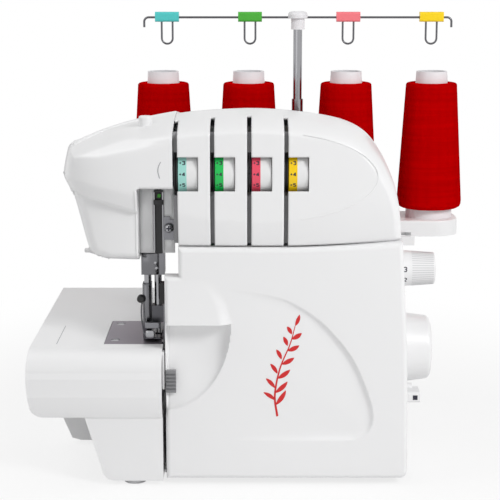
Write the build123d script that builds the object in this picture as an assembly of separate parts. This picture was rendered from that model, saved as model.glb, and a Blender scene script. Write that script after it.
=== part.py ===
"""A four-thread overlock sewing machine with its thread stand, as separate pieces.

Millimetres. X runs to the operator's right, Y away from the operator, Z up.
The origin is on the table, under the middle of the machine's bounding box.
"""

from build123d import *
from math import sqrt
import os

os.makedirs("parts", exist_ok=True)

# Clearances shared by every fit
RUNNING = 0.05        # radial clearance of a shaft in its bore
SLIP = 0.3            # gap between faces that pass each other
SEAM = 1.0            # visible gap between two covers
FAR = 500.0           # beyond every piece, for cuts that run right through

# Outer body
FOOT_HEIGHT = 4.0
FOOT_RADIUS = 9.0
FOOT_SPOTS = [(-64.0, -94.0), (100.0, -94.0), (100.0, 62.0), (-64.0, 62.0), (-104.0, -112.0), (-148.0, 58.0)]
FLOOR = 3.0           # thickness of the base pan's floor
PAN_TOP = FOOT_HEIGHT + FLOOR
WALL = 2.5            # thickness of the covers
BODY_LEFT = -76.5
BODY_RIGHT = 118.0    # at the bottom; the side leans in towards the top
SIDE_LEAN = 7.3
BODY_BACK = 86.0
UPPER_BACK = BODY_BACK - 20.0     # back of the body above the ledge that carries the stand
SEAM_HEIGHT = 197.0   # where the lower body meets the top cover; the upper machine follows it
LEDGE_HEIGHT = SEAM_HEIGHT - 36.5
NECK_LEFT = BODY_LEFT + 9.7       # left side of the body and door above their steps
NECK_HEIGHT = SEAM_HEIGHT - 23.6      # step at the door's upper left

# Front door
DOOR_FRONT = -123.5
DOOR_WALL = 5.0
DOOR_DEPTH = 13.0
DOOR_BOTTOM = FOOT_HEIGHT + 1.0
DOOR_LEFT = BODY_LEFT - 1.5
DOOR_EDGE = 3.0       # rounding of its front edge
DOOR_SLIDE = 8.0      # sideways travel that frees the door
HINGE_HEIGHT = DOOR_BOTTOM + 7.0
HINGE_SETBACK = 9.5   # hinge rod behind the door's front face
HINGE_Y = DOOR_FRONT + HINGE_SETBACK
HINGE_ROD = 2.0       # radius
LUG_RADIUS = 3.7
LUG_LENGTH = 6.0
LUG_ENDS = (-62.0, 92.0)
KNUCKLE_LENGTH = 8.0
KNUCKLE_ENDS = (LUG_ENDS[0] + LUG_LENGTH + 6.0, LUG_ENDS[1] - DOOR_SLIDE - KNUCKLE_LENGTH - 4.0)
SWING_RADIUS = sqrt((DOOR_DEPTH - HINGE_SETBACK) ** 2 + (HINGE_HEIGHT - DOOR_BOTTOM) ** 2)
PAN_FRONT = HINGE_Y + 9.0
SHELL_FRONT = DOOR_FRONT + DOOR_DEPTH + SEAM
SCOOP_WIDTH = 53.0    # quarter-ellipse finger hollow at the door's left edge
SCOOP_DROP = 71.0
SCOOP_TOP = NECK_HEIGHT - 38.4
SCOOP_DEPTH = 8.0
BROW_RISE = 5.0       # swelling above the finger hollow
LEAF_DEPTH = 2.6      # sloping hollow on the right of the door
LEAF_X = (-15.0, 90.0)
LEAF_Z = (38.0, 162.0)
GRIP_SIZE = (8.0, 5.0, 18.0)
GRIP_HEIGHT = SCOOP_TOP - 48.0
GRIP_RIB = 1.0

# Sewing bed on the left
BED_TOP = 113.5
BED_FRONT = DOOR_FRONT - 8.0
BED_LEFT = -189.0
BED_BACK = BODY_BACK + 14.0
BED_ROUND = 17.0      # front upper edge
BED_CORNER = 11.0
BED_WALL = 2.5
ARM_TOP = BED_TOP - 56.0          # top of the base under the bed
ARM_FRONT = BED_FRONT + 7.0
ARM_RIGHT = BODY_LEFT - 4.0
ARM_STEP = -23.0      # the base is wider behind this line
PLATE_THICK = 2.0
PLATE_LEFT = -128.5
PLATE_RIGHT = BODY_LEFT - 5.7
PLATE_FRONT = -104.5
PLATE_BACK = PLATE_FRONT + 76.0
PLATE_SCREWS = ((PLATE_LEFT + 8.0, PLATE_BACK - 9.0), (PLATE_LEFT + 8.0, PLATE_FRONT + 13.7))
SCREW = 2.0           # radius of their shanks
SCREW_HEAD = 3.8
BED_WALL_LEFT = PLATE_LEFT + 16.5
RIM = 7.0             # depth of the rim that carries the plate
SHELL_NECK = BED_TOP + 6.5        # the body behind the door narrows above this

# Needle and presser bars
BAR_LINE = PLATE_FRONT + 19.5     # Y of both bars
NEEDLE_BAR = (PLATE_RIGHT - 3.0, 3.0)     # X and radius
PRESSER_BAR = (NEEDLE_BAR[0] - 8.4, 3.0)
NEEDLE_ARM = 42.0     # length of the rocker that drives the needle bar
NEEDLE_ARM_HEIGHT = SEAM_HEIGHT + 67.0
NEEDLE_BAR_TOP = NEEDLE_ARM_HEIGHT + 2.5
PRESSER_TOP = NEEDLE_ARM_HEIGHT + 8.0
NEEDLE_RADIUS = 0.6
NEEDLE_TIP = BED_TOP - 9.5
NEEDLE_GAP = 2.6
NEEDLE_X = (NEEDLE_BAR[0] - NEEDLE_GAP / 2, NEEDLE_BAR[0] + NEEDLE_GAP / 2)
CLAMP_X = (NEEDLE_BAR[0] - 5.0, NEEDLE_BAR[0] + 4.4)
CLAMP_Y = (BAR_LINE - 5.0, BAR_LINE + 5.0)
CLAMP_Z = (BED_TOP + 14.5, BED_TOP + 28.5)
FOOT_SOLE = 0.8       # foot above the plate at rest
FOOT_THICK = 3.0
FOOT_X = (PRESSER_BAR[0] - 2.9, NEEDLE_BAR[0] + 2.2)
FOOT_Y = (BAR_LINE - 13.0, BAR_LINE + 33.0)
SHANK_TOP = BED_TOP + 46.5
ROCKER_SHAFT = 5.0
ROCKER_Y = BAR_LINE + NEEDLE_ARM
ROCKER_X = (NEEDLE_BAR[0] + 4.9, NEEDLE_BAR[0] + 8.4)
STUD = 1.5
COLLAR = 4.5

# Loopers, knives and feed
KNIFE_THICK = 1.6
KNIFE_Y = (PLATE_FRONT + 7.0, PLATE_FRONT + 13.5)
KNIFE_X = (PLATE_RIGHT + KNIFE_THICK + SLIP, PLATE_RIGHT + 2 * KNIFE_THICK + SLIP)
HOLDER_Z = (BED_TOP + 32.5, BED_TOP + 49.5)
FEED_SLOTS = ((NEEDLE_BAR[0] - 10.3, NEEDLE_BAR[0] - 6.8), (NEEDLE_BAR[0] - 4.3, NEEDLE_BAR[0] - 1.3))
FEED_SLOT_Y = (BAR_LINE + 4.5, BAR_LINE + 36.0)
FEED_ROD = (NEEDLE_BAR[0] - 5.8, BED_TOP - 11.5)
FEED_ROD_RADIUS = 2.0
LOWER_LOOPER = (NEEDLE_BAR[0] - 18.8, BED_TOP - 47.5)
UPPER_LOOPER = (NEEDLE_BAR[0] + 15.2, BED_TOP - 39.5)
LOOPER_SHAFT = 3.0
LOOPER_HUB = 5.5
MECHANISM_GATE = ((-106.0, -40.0), (22.0, BED_TOP - 1.5))     # opening from the body into the bed
KNIFE_GATE = ((KNIFE_Y[0] - 6.5, KNIFE_Y[1] + 15.0), (BED_TOP - 3.5, HOLDER_Z[1] + 5.0))

# Top cover
FACET = DOOR_FRONT - 0.5          # flat front of the tension panel
FACET_CUT = 4.0       # how far the barrel form stands in front of it
FACET_HALF_HEIGHT = 36.0
FACET_HALF_WIDTH = 95.0
COVER_BACK = UPPER_BACK - 4.0
CROWN = SEAM_HEIGHT + 103.5       # highest point of the cover
ROOF_LINE = FACET + 66.0          # the roof falls towards the back behind this line
ROOF_FALL = 0.12
HEAD_SPLIT = NECK_LEFT - 3.8      # joint between head cover and top cover
SLOT_WIDTH = 3.4
SLOT_PITCH = 28.9
FIRST_SLOT = HEAD_SPLIT + 2.2
WINDOW_WIDTH = 16.0
WINDOW_HEIGHT = 27.0
DIAL_HEIGHT = SEAM_HEIGHT + 58.2
DIAL_RADIUS = 20.0
DIAL_SETBACK = 1.0    # dial rim behind the panel's flat
DIAL_Y = FACET + DIAL_SETBACK + DIAL_RADIUS
SLOT_BACK = DIAL_Y + 8.0
DIAL_SHAFT = 3.0
DISC_RADIUS = DIAL_RADIUS - 3.0
DISC_THICK = 1.2
FACET_MIDDLE = (-5.0, DIAL_HEIGHT - 2.2)

# Head
HEAD_LEFT = -156.3
HEAD_BOTTOM = SEAM_HEIGHT - 12.0
HEAD_BACK = COVER_BACK - 22.0
HEAD_WALL = 2.5
NOTCH_LEFT = PRESSER_BAR[0] - 5.4     # needle space cut out of the head
NOTCH_TOP = SEAM_HEIGHT + 46.0
FRAME_FACE = BAR_LINE + 15.0      # front of the frame's arm
FRAME_BACK = HEAD_BACK - 6.0
FRAME_TOP = CROWN - 16.5
ARM_UNDER = SEAM_HEIGHT + 7.0
ARM_LEFT = PRESSER_BAR[0] - 3.4
ARM_GATE = ((FRAME_FACE - 27.0, FRAME_BACK + 2.0), (SEAM_HEIGHT + 1.5, FRAME_TOP + 5.0))
BUSHING_X = (PRESSER_BAR[0] - 4.8, NEEDLE_BAR[0] + 5.7)
BUSHING_Y = (BAR_LINE - 5.5, BAR_LINE + 9.0)
BUSHING_Z = (ARM_UNDER - 36.0, ARM_UNDER - 18.0)
RECESS_Y = (BAR_LINE - 9.0, BAR_LINE - 6.5)   # wall of the head in front of the bars
SCREW_KNOB = 5.5
LIFTER = (PRESSER_BAR[0] + 5.6, ARM_UNDER + 12.0)
LIFTER_PIN = 3.0
LIFTER_HUB = 6.5

# Frame and drive
WEB_LEFT = (BODY_LEFT + 14.5, BODY_LEFT + 22.5)
WEB_RIGHT = (84.0, 92.0)
FRAME_FOOT_BACK = UPPER_BACK - 6.0
BEARING = 11.0
AXLE_Y = -33.5
AXLE_Z = 92.0
AXLE_RADIUS = 5.0
WHEEL_RADIUS = 30.3
WHEEL_END = BODY_RIGHT + 26.3
WHEEL_TAPER = 3.5
WHEEL_ROUND = 5.0
PULLEY_X = (WEB_RIGHT[1] + 4.0, WEB_RIGHT[1] + 14.0)
PULLEY_RADIUS = 22.0
SHAFT_SPACING = (69.5, 46.0)      # motor behind and below the main shaft
MOTOR_Y = AXLE_Y + SHAFT_SPACING[0]
MOTOR_Z = AXLE_Z - SHAFT_SPACING[1]
MOTOR_RADIUS = 26.0
MOTOR_X = (8.0, WEB_RIGHT[0] - 6.0)
PINION_RADIUS = 8.0
PINION_SHAFT = 3.0
BELT_THICK = 1.6

# Side controls
STITCH_DIAL = (AXLE_Y, AXLE_Z + 69.3)
STITCH_DIAL_RADIUS = 15.7
STITCH_DIAL_END = BODY_RIGHT + 29.0
STITCH_DIAL_TAPER = 2.2
FEED_LEVER = (AXLE_Y - 18.5, AXLE_Z - 34.0)
FEED_LEVER_END = BODY_RIGHT + 15.0
FEED_LEVER_LENGTH = 20.0
FEED_LEVER_WIDTH = 9.0
LEVER_HUB = 7.0
DIAL_STEM = 4.0
LEVER_STEM = 3.0
STEM_LENGTH = 12.0
POWER_Y = (-4.0, 54.0)    # one moulded unit with inlet and switch
POWER_Z = (15.0, 31.0)
POWER_X = (BODY_RIGHT - 20.0, BODY_RIGHT + 0.8)
SWITCH_Y = (POWER_Y[0] + 2.0, POWER_Y[0] + 26.0)
SWITCH_PIN = 1.5
SWITCH_X = POWER_X[0] + 13.0
INLET_Y = (POWER_Y[1] - 24.0, POWER_Y[1] - 4.0)

# Thread stand
STAND_X = (-116.0, 184.0)
STAND_Y = (UPPER_BACK + 8.5, UPPER_BACK + 62.5)
STAND_TOP = LEDGE_HEIGHT + 22.5
STAND_THICK = 15.0
STAND_CORNER = 22.0
STAND_WALL = 3.0
STAND_BLOCK_X = (STAND_X[0] + 42.0, STAND_X[1] - 42.0)
CONE_Y = (STAND_Y[0] + STAND_Y[1]) / 2
CONE_X = (STAND_X[0] + 25.9, -11.2, 78.9, STAND_X[1] - 26.0)
CONE_FOOT_RADIUS = 21.7
CORE_TOP_RADIUS = 14.2
CORE_HEIGHT = 135.5
CORE_WALL = 1.6
THREAD_LOW_RADIUS = 30.0
THREAD_HIGH_RADIUS = 23.5
THREAD_FOOT = 6.0     # thread starts this far above the stand
THREAD_TOP = CORE_HEIGHT - 10.5
THREAD_SHOULDER = 10.0
PIN_RADIUS = 3.0
PIN_HEIGHT = 80.0
PIN_SINK = 8.0        # how far a pin goes into the stand
POLE_X = (STAND_X[0] + STAND_X[1]) / 2 - 0.1
LOWER_POLE = 5.3
UPPER_POLE = 4.1
POLE_RISE = 110.0     # lower tube above the stand
LOWER_POLE_TOP = STAND_TOP + POLE_RISE
POLE_SINK = 10.0
POLE_OVERLAP = 45.0   # upper tube inside the lower one when drawn out
GUIDE_RISE = 184.6    # guide wire above the stand, drawn out
GUIDE_HEIGHT = STAND_TOP + GUIDE_RISE
GUIDE_WIRE = 1.0
GUIDE_HALF = 141.0
GUIDE_DROP = 9.0      # hooked ends of the wire
GUIDE_SLIDE = 40.0
CAP_NECK = 6.2
CAP_RADIUS = 9.0
CAP_BRIM = 6.0
CAP_BOTTOM = GUIDE_HEIGHT - 10.9
CAP_TOP = GUIDE_HEIGHT + 5.4
CAP_SOCKET = 9.0      # depth of the tube in the cap
CLIP_X = (-86.1, -10.0, 80.1, 156.5)
CLIP_SIZE = (21.8, 8.0, 9.0)
LOOP_WIDTH = 10.0
LOOP_DROP = 20.0
LOOP_WIRE = 0.9


def block(x, y, z):
    """A box between three ranges."""
    return Pos((x[0] + x[1]) / 2, (y[0] + y[1]) / 2, (z[0] + z[1]) / 2) * Box(
        x[1] - x[0], y[1] - y[0], z[1] - z[0]
    )


def rod_x(x, y, z, radius):
    return Pos((x[0] + x[1]) / 2, y, z) * Rot(0, 90, 0) * Cylinder(radius, x[1] - x[0])


def rod_y(x, y, z, radius):
    return Pos(x, (y[0] + y[1]) / 2, z) * Rot(90, 0, 0) * Cylinder(radius, y[1] - y[0])


def rod_z(x, y, z, radius):
    return Pos(x, y, (z[0] + z[1]) / 2) * Cylinder(radius, z[1] - z[0])


def cone_x(x, y, z, radius_low, radius_high):
    return Pos((x[0] + x[1]) / 2, y, z) * Rot(0, 90, 0) * Cone(radius_low, radius_high, x[1] - x[0])


def cone_z(x, y, z, radius_low, radius_high):
    return Pos(x, y, (z[0] + z[1]) / 2) * Cone(radius_low, radius_high, z[1] - z[0])


def closed_face(place, runs):
    """A flat face. A run of two points is a line, of three an arc through the middle, of more a spline."""
    edges = []
    for run in runs:
        points = [Vector(*place(*point)) for point in run]
        if len(points) == 2:
            edges.append(Edge.make_line(*points))
        elif len(points) == 3:
            edges.append(Edge.make_three_point_arc(*points))
        else:
            edges.append(Edge.make_spline(points))
    return Face(Wire(edges))


def lines(points):
    """The runs of a closed polygon."""
    return [(a, b) for a, b in zip(points, points[1:] + points[:1])]


def prism_x(runs, x):
    face = closed_face(lambda a, b: (x[0], a, b), runs)
    return Solid.extrude(face, Vector(x[1] - x[0], 0, 0))


def prism_y(runs, y):
    face = closed_face(lambda a, b: (a, y[0], b), runs)
    return Solid.extrude(face, Vector(0, y[1] - y[0], 0))


def prism_z(runs, z):
    face = closed_face(lambda a, b: (a, b, z[0]), runs)
    return Solid.extrude(face, Vector(0, 0, z[1] - z[0]))


def side_x(z, inset=0.0):
    """X of the body's right side at height z."""
    share = (z - FOOT_HEIGHT) / (SEAM_HEIGHT - FOOT_HEIGHT)
    return BODY_RIGHT - SIDE_LEAN * share**2 - inset


def side_run(low, high, inset=0.0):
    """The right side as an arc from one height to another."""
    return [(side_x(z, inset), z) for z in (low, (low + high) / 2, high)]


def save(name, shape):
    pieces = shape if isinstance(shape, (list, tuple)) else [shape]
    solids = [solid for piece in pieces for solid in piece.solids()]
    whole = solids[0] if len(solids) == 1 else Compound(children=list(solids))
    export_step(whole, f"parts/{name}.step")
    print(name, len(solids), round(sum(s.volume for s in solids)))


# Base pan, arm base and feet

def base_pan():
    inside = WALL + SLIP
    x = (ARM_RIGHT + SEAM / 2, BODY_RIGHT - inside)
    pan = block(x, (PAN_FRONT, BODY_BACK - inside), (FOOT_HEIGHT, PAN_TOP))
    for x in LUG_ENDS:
        ends = (x, x + LUG_LENGTH)
        pan += block(ends, (HINGE_Y, PAN_FRONT + 8), (HINGE_HEIGHT - LUG_RADIUS, HINGE_HEIGHT + LUG_RADIUS))
        pan += block(ends, (PAN_FRONT, PAN_FRONT + 8), (FOOT_HEIGHT, HINGE_HEIGHT))
        pan += rod_x(ends, HINGE_Y, HINGE_HEIGHT, LUG_RADIUS)
        pan -= rod_x((x - 1, x + LUG_LENGTH + 1), HINGE_Y, HINGE_HEIGHT, HINGE_ROD + RUNNING)
    return pan


def arm_form(inset):
    """The base under the bed: a tapered block in front, a wider one behind."""
    low, high = FOOT_HEIGHT + inset, ARM_TOP
    right = ARM_RIGHT - inset
    left = BED_LEFT + inset
    front = [
        [(right, low), (left + 69.6, low)],
        [(left + 69.6, low), (left + 62.3, low + 2.5), (left + 58.5, low + 11)],
        [(left + 58.5, low + 11), (left + 45.6, high)],
        [(left + 45.6, high), (right, high)],
        [(right, high), (right, low)],
    ]
    back = [(right, low), (left + 30, low), (left + 22.4, low + 2.2), (left + 1, high), (right, high)]
    form = prism_y(front, (ARM_FRONT + inset, ARM_STEP + inset + 1))
    return form + prism_y(lines(back), (ARM_STEP + inset, BED_BACK - inset))


def arm_base():
    inner = arm_form(WALL) + Pos(0, 0, WALL) * arm_form(WALL)
    return arm_form(0) - inner


def rubber_feet():
    return [rod_z(x, y, (0, FOOT_HEIGHT), FOOT_RADIUS) for x, y in FOOT_SPOTS]


# Lower body shell and its front door

def body_outline(inset, low, high):
    left, neck = BODY_LEFT + inset, NECK_LEFT + inset
    step = SHELL_NECK - inset
    return [
        [(left, low), (left, step)],
        [(left, step), (neck, step)],
        [(neck, step), (neck, high)],
        [(neck, high), (side_x(high, inset), high)],
        side_run(low, high, inset)[::-1],
        [(side_x(low, inset), low), (left, low)],
    ]


def shell_form(inset, low, high):
    """The lower body with a ledge at the back, open at the front where it is inset."""
    front = SHELL_FRONT - inset
    form = prism_y(body_outline(inset, low, high), (front, BODY_BACK - inset))
    return form - block((-FAR, FAR), (UPPER_BACK - inset, FAR), (LEDGE_HEIGHT - inset, FAR))


def body_shell():
    top = SEAM_HEIGHT - SEAM / 2
    shell = shell_form(0, PAN_TOP, top) - shell_form(WALL, PAN_TOP + WALL, top - WALL)
    open_front = SHELL_FRONT - 1
    shell -= block((NECK_LEFT + WALL + 1, BODY_RIGHT - 20), (open_front, UPPER_BACK - 8), (top - 10, top + 1))
    shell -= block((BODY_LEFT + 6, BODY_RIGHT - 10), (open_front, BODY_BACK - 8), (PAN_TOP - 1, PAN_TOP + 6))
    for y, z in (MECHANISM_GATE, KNIFE_GATE):
        shell -= block((BODY_LEFT - 1, BODY_LEFT + WALL + 1), y, z)
    side = (BODY_RIGHT - 20, BODY_RIGHT + 1)
    shell -= rod_x(side, AXLE_Y, AXLE_Z, AXLE_RADIUS + 2)
    shell -= rod_x(side, *STITCH_DIAL, DIAL_STEM + RUNNING)
    shell -= rod_x(side, *FEED_LEVER, LEVER_STEM + RUNNING)
    shell -= block(side, POWER_Y, POWER_Z)
    return shell - rod_x((-FAR, FAR), HINGE_Y, HINGE_HEIGHT, SWING_RADIUS + 2 * SLIP)


def door_outline(inset, low):
    """The door's front view: a step at the upper left and a top edge that rises to the right."""
    left, neck = DOOR_LEFT + inset, NECK_LEFT + inset
    high = SEAM_HEIGHT - SEAM / 2 - inset
    return [
        [(left, low), (left, NECK_HEIGHT - inset)],
        [(left, NECK_HEIGHT - inset), (neck, NECK_HEIGHT - inset)],
        [(neck, NECK_HEIGHT - inset), (neck, high)],
        [(neck, high), (side_x(high, inset), high)],
        side_run(low, high, inset)[::-1],
        [(side_x(low, inset), low), (left, low)],
    ]


def quarter_ellipse(corner, width, drop):
    """Runs of a quarter ellipse whose right angle is at its upper left corner."""
    x, z = corner
    rim = [(x + width * sqrt(1 - share**2), z - drop * share) for share in (0, 0.3, 0.6, 0.85, 1)]
    return [[(x, z), rim[0]], rim, [rim[-1], (x, z)]]


def grip_form():
    x = (DOOR_LEFT + 0.5, DOOR_LEFT + 0.5 + GRIP_SIZE[0])
    y = (DOOR_FRONT + 0.5, DOOR_FRONT + 0.5 + GRIP_SIZE[1])
    return block(x, y, (GRIP_HEIGHT - GRIP_SIZE[2] / 2, GRIP_HEIGHT + GRIP_SIZE[2] / 2))


def door_grip():
    """A ribbed thumb piece let into the door."""
    grip = grip_form()
    low, high = grip.bounding_box().min, grip.bounding_box().max
    for i in range(5):
        at = low.Z + (i + 1) * GRIP_SIZE[2] / 6
        grip -= block((low.X, high.X), (low.Y - 1, low.Y + GRIP_RIB), (at - 0.8, at + 0.8))
    return grip


def front_door():
    back = DOOR_FRONT + DOOR_DEPTH
    door = prism_y(door_outline(0, DOOR_BOTTOM), (DOOR_FRONT, back))
    front_edges = [e for e in door.edges() if abs(e.center().Y - DOOR_FRONT) < 0.01]
    door = door.fillet(DOOR_EDGE, front_edges)
    hollow = prism_y(door_outline(WALL, DOOR_BOTTOM - 10), (DOOR_FRONT + DOOR_WALL, back + 1))
    scoop_corner = (DOOR_LEFT - 1, SCOOP_TOP)
    backing = prism_y(
        quarter_ellipse((DOOR_LEFT - 1, SCOOP_TOP + 4), SCOOP_WIDTH + 6, SCOOP_DROP + 8), (DOOR_FRONT, back)
    )
    door -= hollow - backing
    within = DOOR_FRONT + 1
    brow = prism_x(
        lines([(within, NECK_HEIGHT - 4), (DOOR_FRONT - BROW_RISE, SCOOP_TOP), (within, SCOOP_TOP)]),
        (DOOR_LEFT, DOOR_LEFT + SCOOP_WIDTH + 1),
    )
    flank = Plane((DOOR_LEFT + SCOOP_WIDTH - 6, DOOR_FRONT - BROW_RISE, SCOOP_TOP), z_dir=(0.75, -0.45, 0.35))
    door += brow.split(flank, keep=Keep.BOTTOM)
    scoop = prism_y(quarter_ellipse(scoop_corner, SCOOP_WIDTH + 1, SCOOP_DROP), (DOOR_FRONT - 20, back))
    scoop_floor = prism_x(
        lines([
            (DOOR_FRONT - 20, SCOOP_TOP + 1), (DOOR_FRONT + SCOOP_DEPTH, SCOOP_TOP + 1),
            (DOOR_FRONT + 1, SCOOP_TOP - SCOOP_DROP - 1), (DOOR_FRONT - 20, SCOOP_TOP - SCOOP_DROP - 1),
        ]),
        (DOOR_LEFT - 2, DOOR_LEFT + SCOOP_WIDTH + 2),
    )
    door -= scoop & scoop_floor
    left, right = LEAF_X
    low, high = LEAF_Z
    leaf = prism_y(
        [
            [(left, low), (right - 20, low)],
            [(right - 20, low), (right - 5, low + 5), (right, low + 18)],
            [(right, low + 18), (right - 14, low + 68), (right - 55, high - 14)],
            [(right - 55, high - 14), (left, high)],
            [(left, high), (left, low)],
        ],
        (DOOR_FRONT - 10, DOOR_FRONT + 6),
    )
    leaf_floor = prism_z(
        lines([
            (left + 1, DOOR_FRONT), (right + 2, DOOR_FRONT + LEAF_DEPTH),
            (right + 2, DOOR_FRONT - 9), (left + 1, DOOR_FRONT - 9),
        ]),
        (low - 8, high + 8),
    )
    door -= leaf & leaf_floor
    door -= grip_form()
    for x in KNUCKLE_ENDS:
        ends = (x, x + KNUCKLE_LENGTH)
        door += rod_x(ends, HINGE_Y, HINGE_HEIGHT, LUG_RADIUS)
        knuckle_z = (HINGE_HEIGHT - 1, HINGE_HEIGHT + LUG_RADIUS)
        door += block(ends, (DOOR_FRONT + DOOR_WALL - 0.5, HINGE_Y), knuckle_z)
        door -= rod_x((x - 1, x + KNUCKLE_LENGTH + 1), HINGE_Y, HINGE_HEIGHT, HINGE_ROD + RUNNING)
    return door


def door_hinge_rod():
    return rod_x((LUG_ENDS[0] - 4, LUG_ENDS[1] + LUG_LENGTH + 4), HINGE_Y, HINGE_HEIGHT, HINGE_ROD)


# Bed cover, needle plate and bed frame


def bed_form(inset):
    """Rounded in side view and in front view."""
    front, low, high = BED_FRONT + inset, ARM_TOP + SLIP + inset, BED_TOP - inset
    radius = BED_ROUND - inset
    bend = radius * (1 - sqrt(0.5))
    side = [
        [(front + 6, low), (front, low + 14), (front, high - radius)],
        [(front, high - radius), (front + bend, high - bend), (front + radius, high)],
        [(front + radius, high), (BED_BACK - inset, high)],
        [(BED_BACK - inset, high), (BED_BACK - inset, low)],
        [(BED_BACK - inset, low), (front + 6, low)],
    ]
    left, right = BED_LEFT + inset, ARM_RIGHT
    corner = BED_CORNER - inset
    dip = corner * (1 - sqrt(0.5))
    view = [
        [(left + 1.5, high), (left, low + 34), (left + 2, low + corner)],
        [(left + 2, low + corner), (left + 2 + dip, low + dip), (left + corner + 2, low)],
        [(left + corner + 2, low), (right, low)],
        [(right, low), (right, high)],
        [(right, high), (left + 1.5, high)],
    ]
    return prism_x(side, (left - 1, right)) & prism_y(view, (front - 1, BED_BACK - inset))


def bed_cover():
    hollow = bed_form(BED_WALL)
    cover = bed_form(0) - hollow
    cover -= Pos(0, 0, -BED_WALL - 1) * hollow
    cover -= Pos(5, 0, 0) * hollow
    cover -= block(
        (PLATE_LEFT - SLIP, 0), (PLATE_FRONT - SLIP, PLATE_BACK + SLIP), (BED_TOP - BED_WALL - 1, BED_TOP + 1)
    )
    return cover


def needle_plate():
    z = (BED_TOP - PLATE_THICK, BED_TOP)
    plate = block((PLATE_LEFT, PLATE_RIGHT), (PLATE_FRONT, PLATE_BACK), z)
    cut = (z[0] - 1, z[1] + 1)
    plate -= block((NEEDLE_X[0] - 1.6, NEEDLE_X[1] + 1.6), (BAR_LINE - 1.8, BAR_LINE + 1.8), cut)
    for x in FEED_SLOTS:
        plate -= block((x[0] - 0.4, x[1] + 0.4), FEED_SLOT_Y, cut)
    for x, y in PLATE_SCREWS:
        plate -= rod_z(x, y, cut, SCREW)
        plate -= rod_z(x, y, (BED_TOP - 1, cut[1]), SCREW_HEAD)
    return plate


def bed_frame():
    """A wall on the arm base's floor and a rim that carries the needle plate."""
    top = BED_TOP - PLATE_THICK
    wall_y = (PLATE_BACK - 5, PLATE_BACK - 1)
    left, right = PLATE_LEFT + 2, PLATE_RIGHT - 2
    frame = block((BED_WALL_LEFT, right), wall_y, (FOOT_HEIGHT + WALL, top))
    frame += block((left, BED_WALL_LEFT + 1), (PLATE_FRONT + 2, wall_y[1]), (top - RIM, top))
    frame += block((left, right), wall_y, (top - RIM, top))
    frame += block((left, right), (PLATE_FRONT + 2, PLATE_FRONT + 5), (top - RIM, top))
    frame += rod_y(FEED_ROD[0], (FEED_SLOT_Y[0] + 4, wall_y[0]), FEED_ROD[1], FEED_ROD_RADIUS)
    frame -= rod_y(LOWER_LOOPER[0], (wall_y[0] - 1, wall_y[1] + 1), LOWER_LOOPER[1], LOOPER_SHAFT + RUNNING)
    for x, y in PLATE_SCREWS:
        frame -= rod_z(x, y, (top - RIM - 1, top + 1), SCREW)
    return frame


def plate_screws():
    screws = []
    for x, y in PLATE_SCREWS:
        head = rod_z(x, y, (BED_TOP - 1, BED_TOP), SCREW_HEAD)
        screws.append(head + rod_z(x, y, (BED_TOP - PLATE_THICK - RIM, BED_TOP - 1), SCREW))
    return screws


def lower_knife():
    x = (PLATE_RIGHT, PLATE_RIGHT + KNIFE_THICK)
    return block(x, KNIFE_Y, (BED_TOP - 22, BED_TOP))


# Top cover with its tension controls


def crown_runs(start):
    """The machine's top outline in front view, from the right-hand seam to the head's left shoulder."""
    return [
        start, (107.9, CROWN - 68.5), (102.7, CROWN - 48.5), (92.8, CROWN - 29), (80, CROWN - 16),
        (60.9, CROWN - 7.7), (30, CROWN - 2.5), (FACET_MIDDLE[0], CROWN), (-40, CROWN - 1.2),
        (-70, CROWN - 4.3), (-106, CROWN - 11.5), (-130.5, CROWN - 19.3), (-150, CROWN - 27.3),
    ]


def inset_points(points, distance):
    """Points moved to the left of their direction of travel."""
    moved = []
    for i, (a, b) in enumerate(points):
        before, after = points[max(i - 1, 0)], points[min(i + 1, len(points) - 1)]
        along, up = after[0] - before[0], after[1] - before[1]
        length = sqrt(along**2 + up**2)
        moved.append((a - distance * up / length, b + distance * along / length))
    return moved


def roofed(runs):
    """A front view drawn straight forward from the roof line, and back along the falling roof."""
    face = closed_face(lambda a, b: (a, ROOF_LINE, b), runs)
    forward = Solid.extrude(face, Vector(0, -FAR / 2, 0))
    return forward + Solid.extrude(face, Vector(0, FAR / 2, -ROOF_FALL * FAR / 2))


def cover_prism(inset):
    """The top cover's front view drawn through its depth, and on below the seam."""
    low = SEAM_HEIGHT + SEAM / 2
    crown = inset_points(crown_runs((side_x(low), low)), inset)
    bottom = low - 2 * inset - 1
    ends = [(crown[-1][0], bottom), (crown[0][0], bottom)]
    return roofed([crown, [crown[-1], ends[0]], ends, [ends[1], crown[0]]])


def barrel(inset):
    """The swelling front of the top cover: an upright arc swept about a distant upright axis."""
    upright = (FACET_HALF_HEIGHT**2 + FACET_CUT**2) / (2 * FACET_CUT)
    plan = (FACET_HALF_WIDTH**2 + FACET_CUT**2) / (2 * FACET_CUT)
    x, middle = FACET_MIDDLE
    apex = FACET - FACET_CUT
    low, shoulder, top = SEAM_HEIGHT - inset, CROWN - 8, CROWN + 6 - inset

    def front(z):
        return apex + upright - sqrt((upright - inset) ** 2 - (z - middle) ** 2)

    back = COVER_BACK - inset
    face = closed_face(
        lambda a, b: (x, a, b),
        [
            [(front(low), low), (front(middle), middle), (front(shoulder), shoulder)],
            [(front(shoulder), shoulder), (apex + 34, CROWN + 2 - inset), (apex + 80, top)],
            [(apex + 80, top), (back - 30, top - 10)],
            [(back - 30, top - 10), (back - 9, top - 22), (back, top - 42)],
            [(back, top - 42), (back, low)],
            [(back, low), (front(low), low)],
        ],
    )
    axis = Axis((x, apex + plan, 0), (0, 0, 1))
    sweep = 22.0
    return Solid.revolve(face.rotate(axis, -sweep / 2), sweep, axis)


def cover_form(inset):
    form = cover_prism(inset) & barrel(inset)
    low = SEAM_HEIGHT + SEAM / 2 - 2 * inset
    return form & block((-FAR, FAR), (FACET + inset, FAR), (low, FAR))


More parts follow.
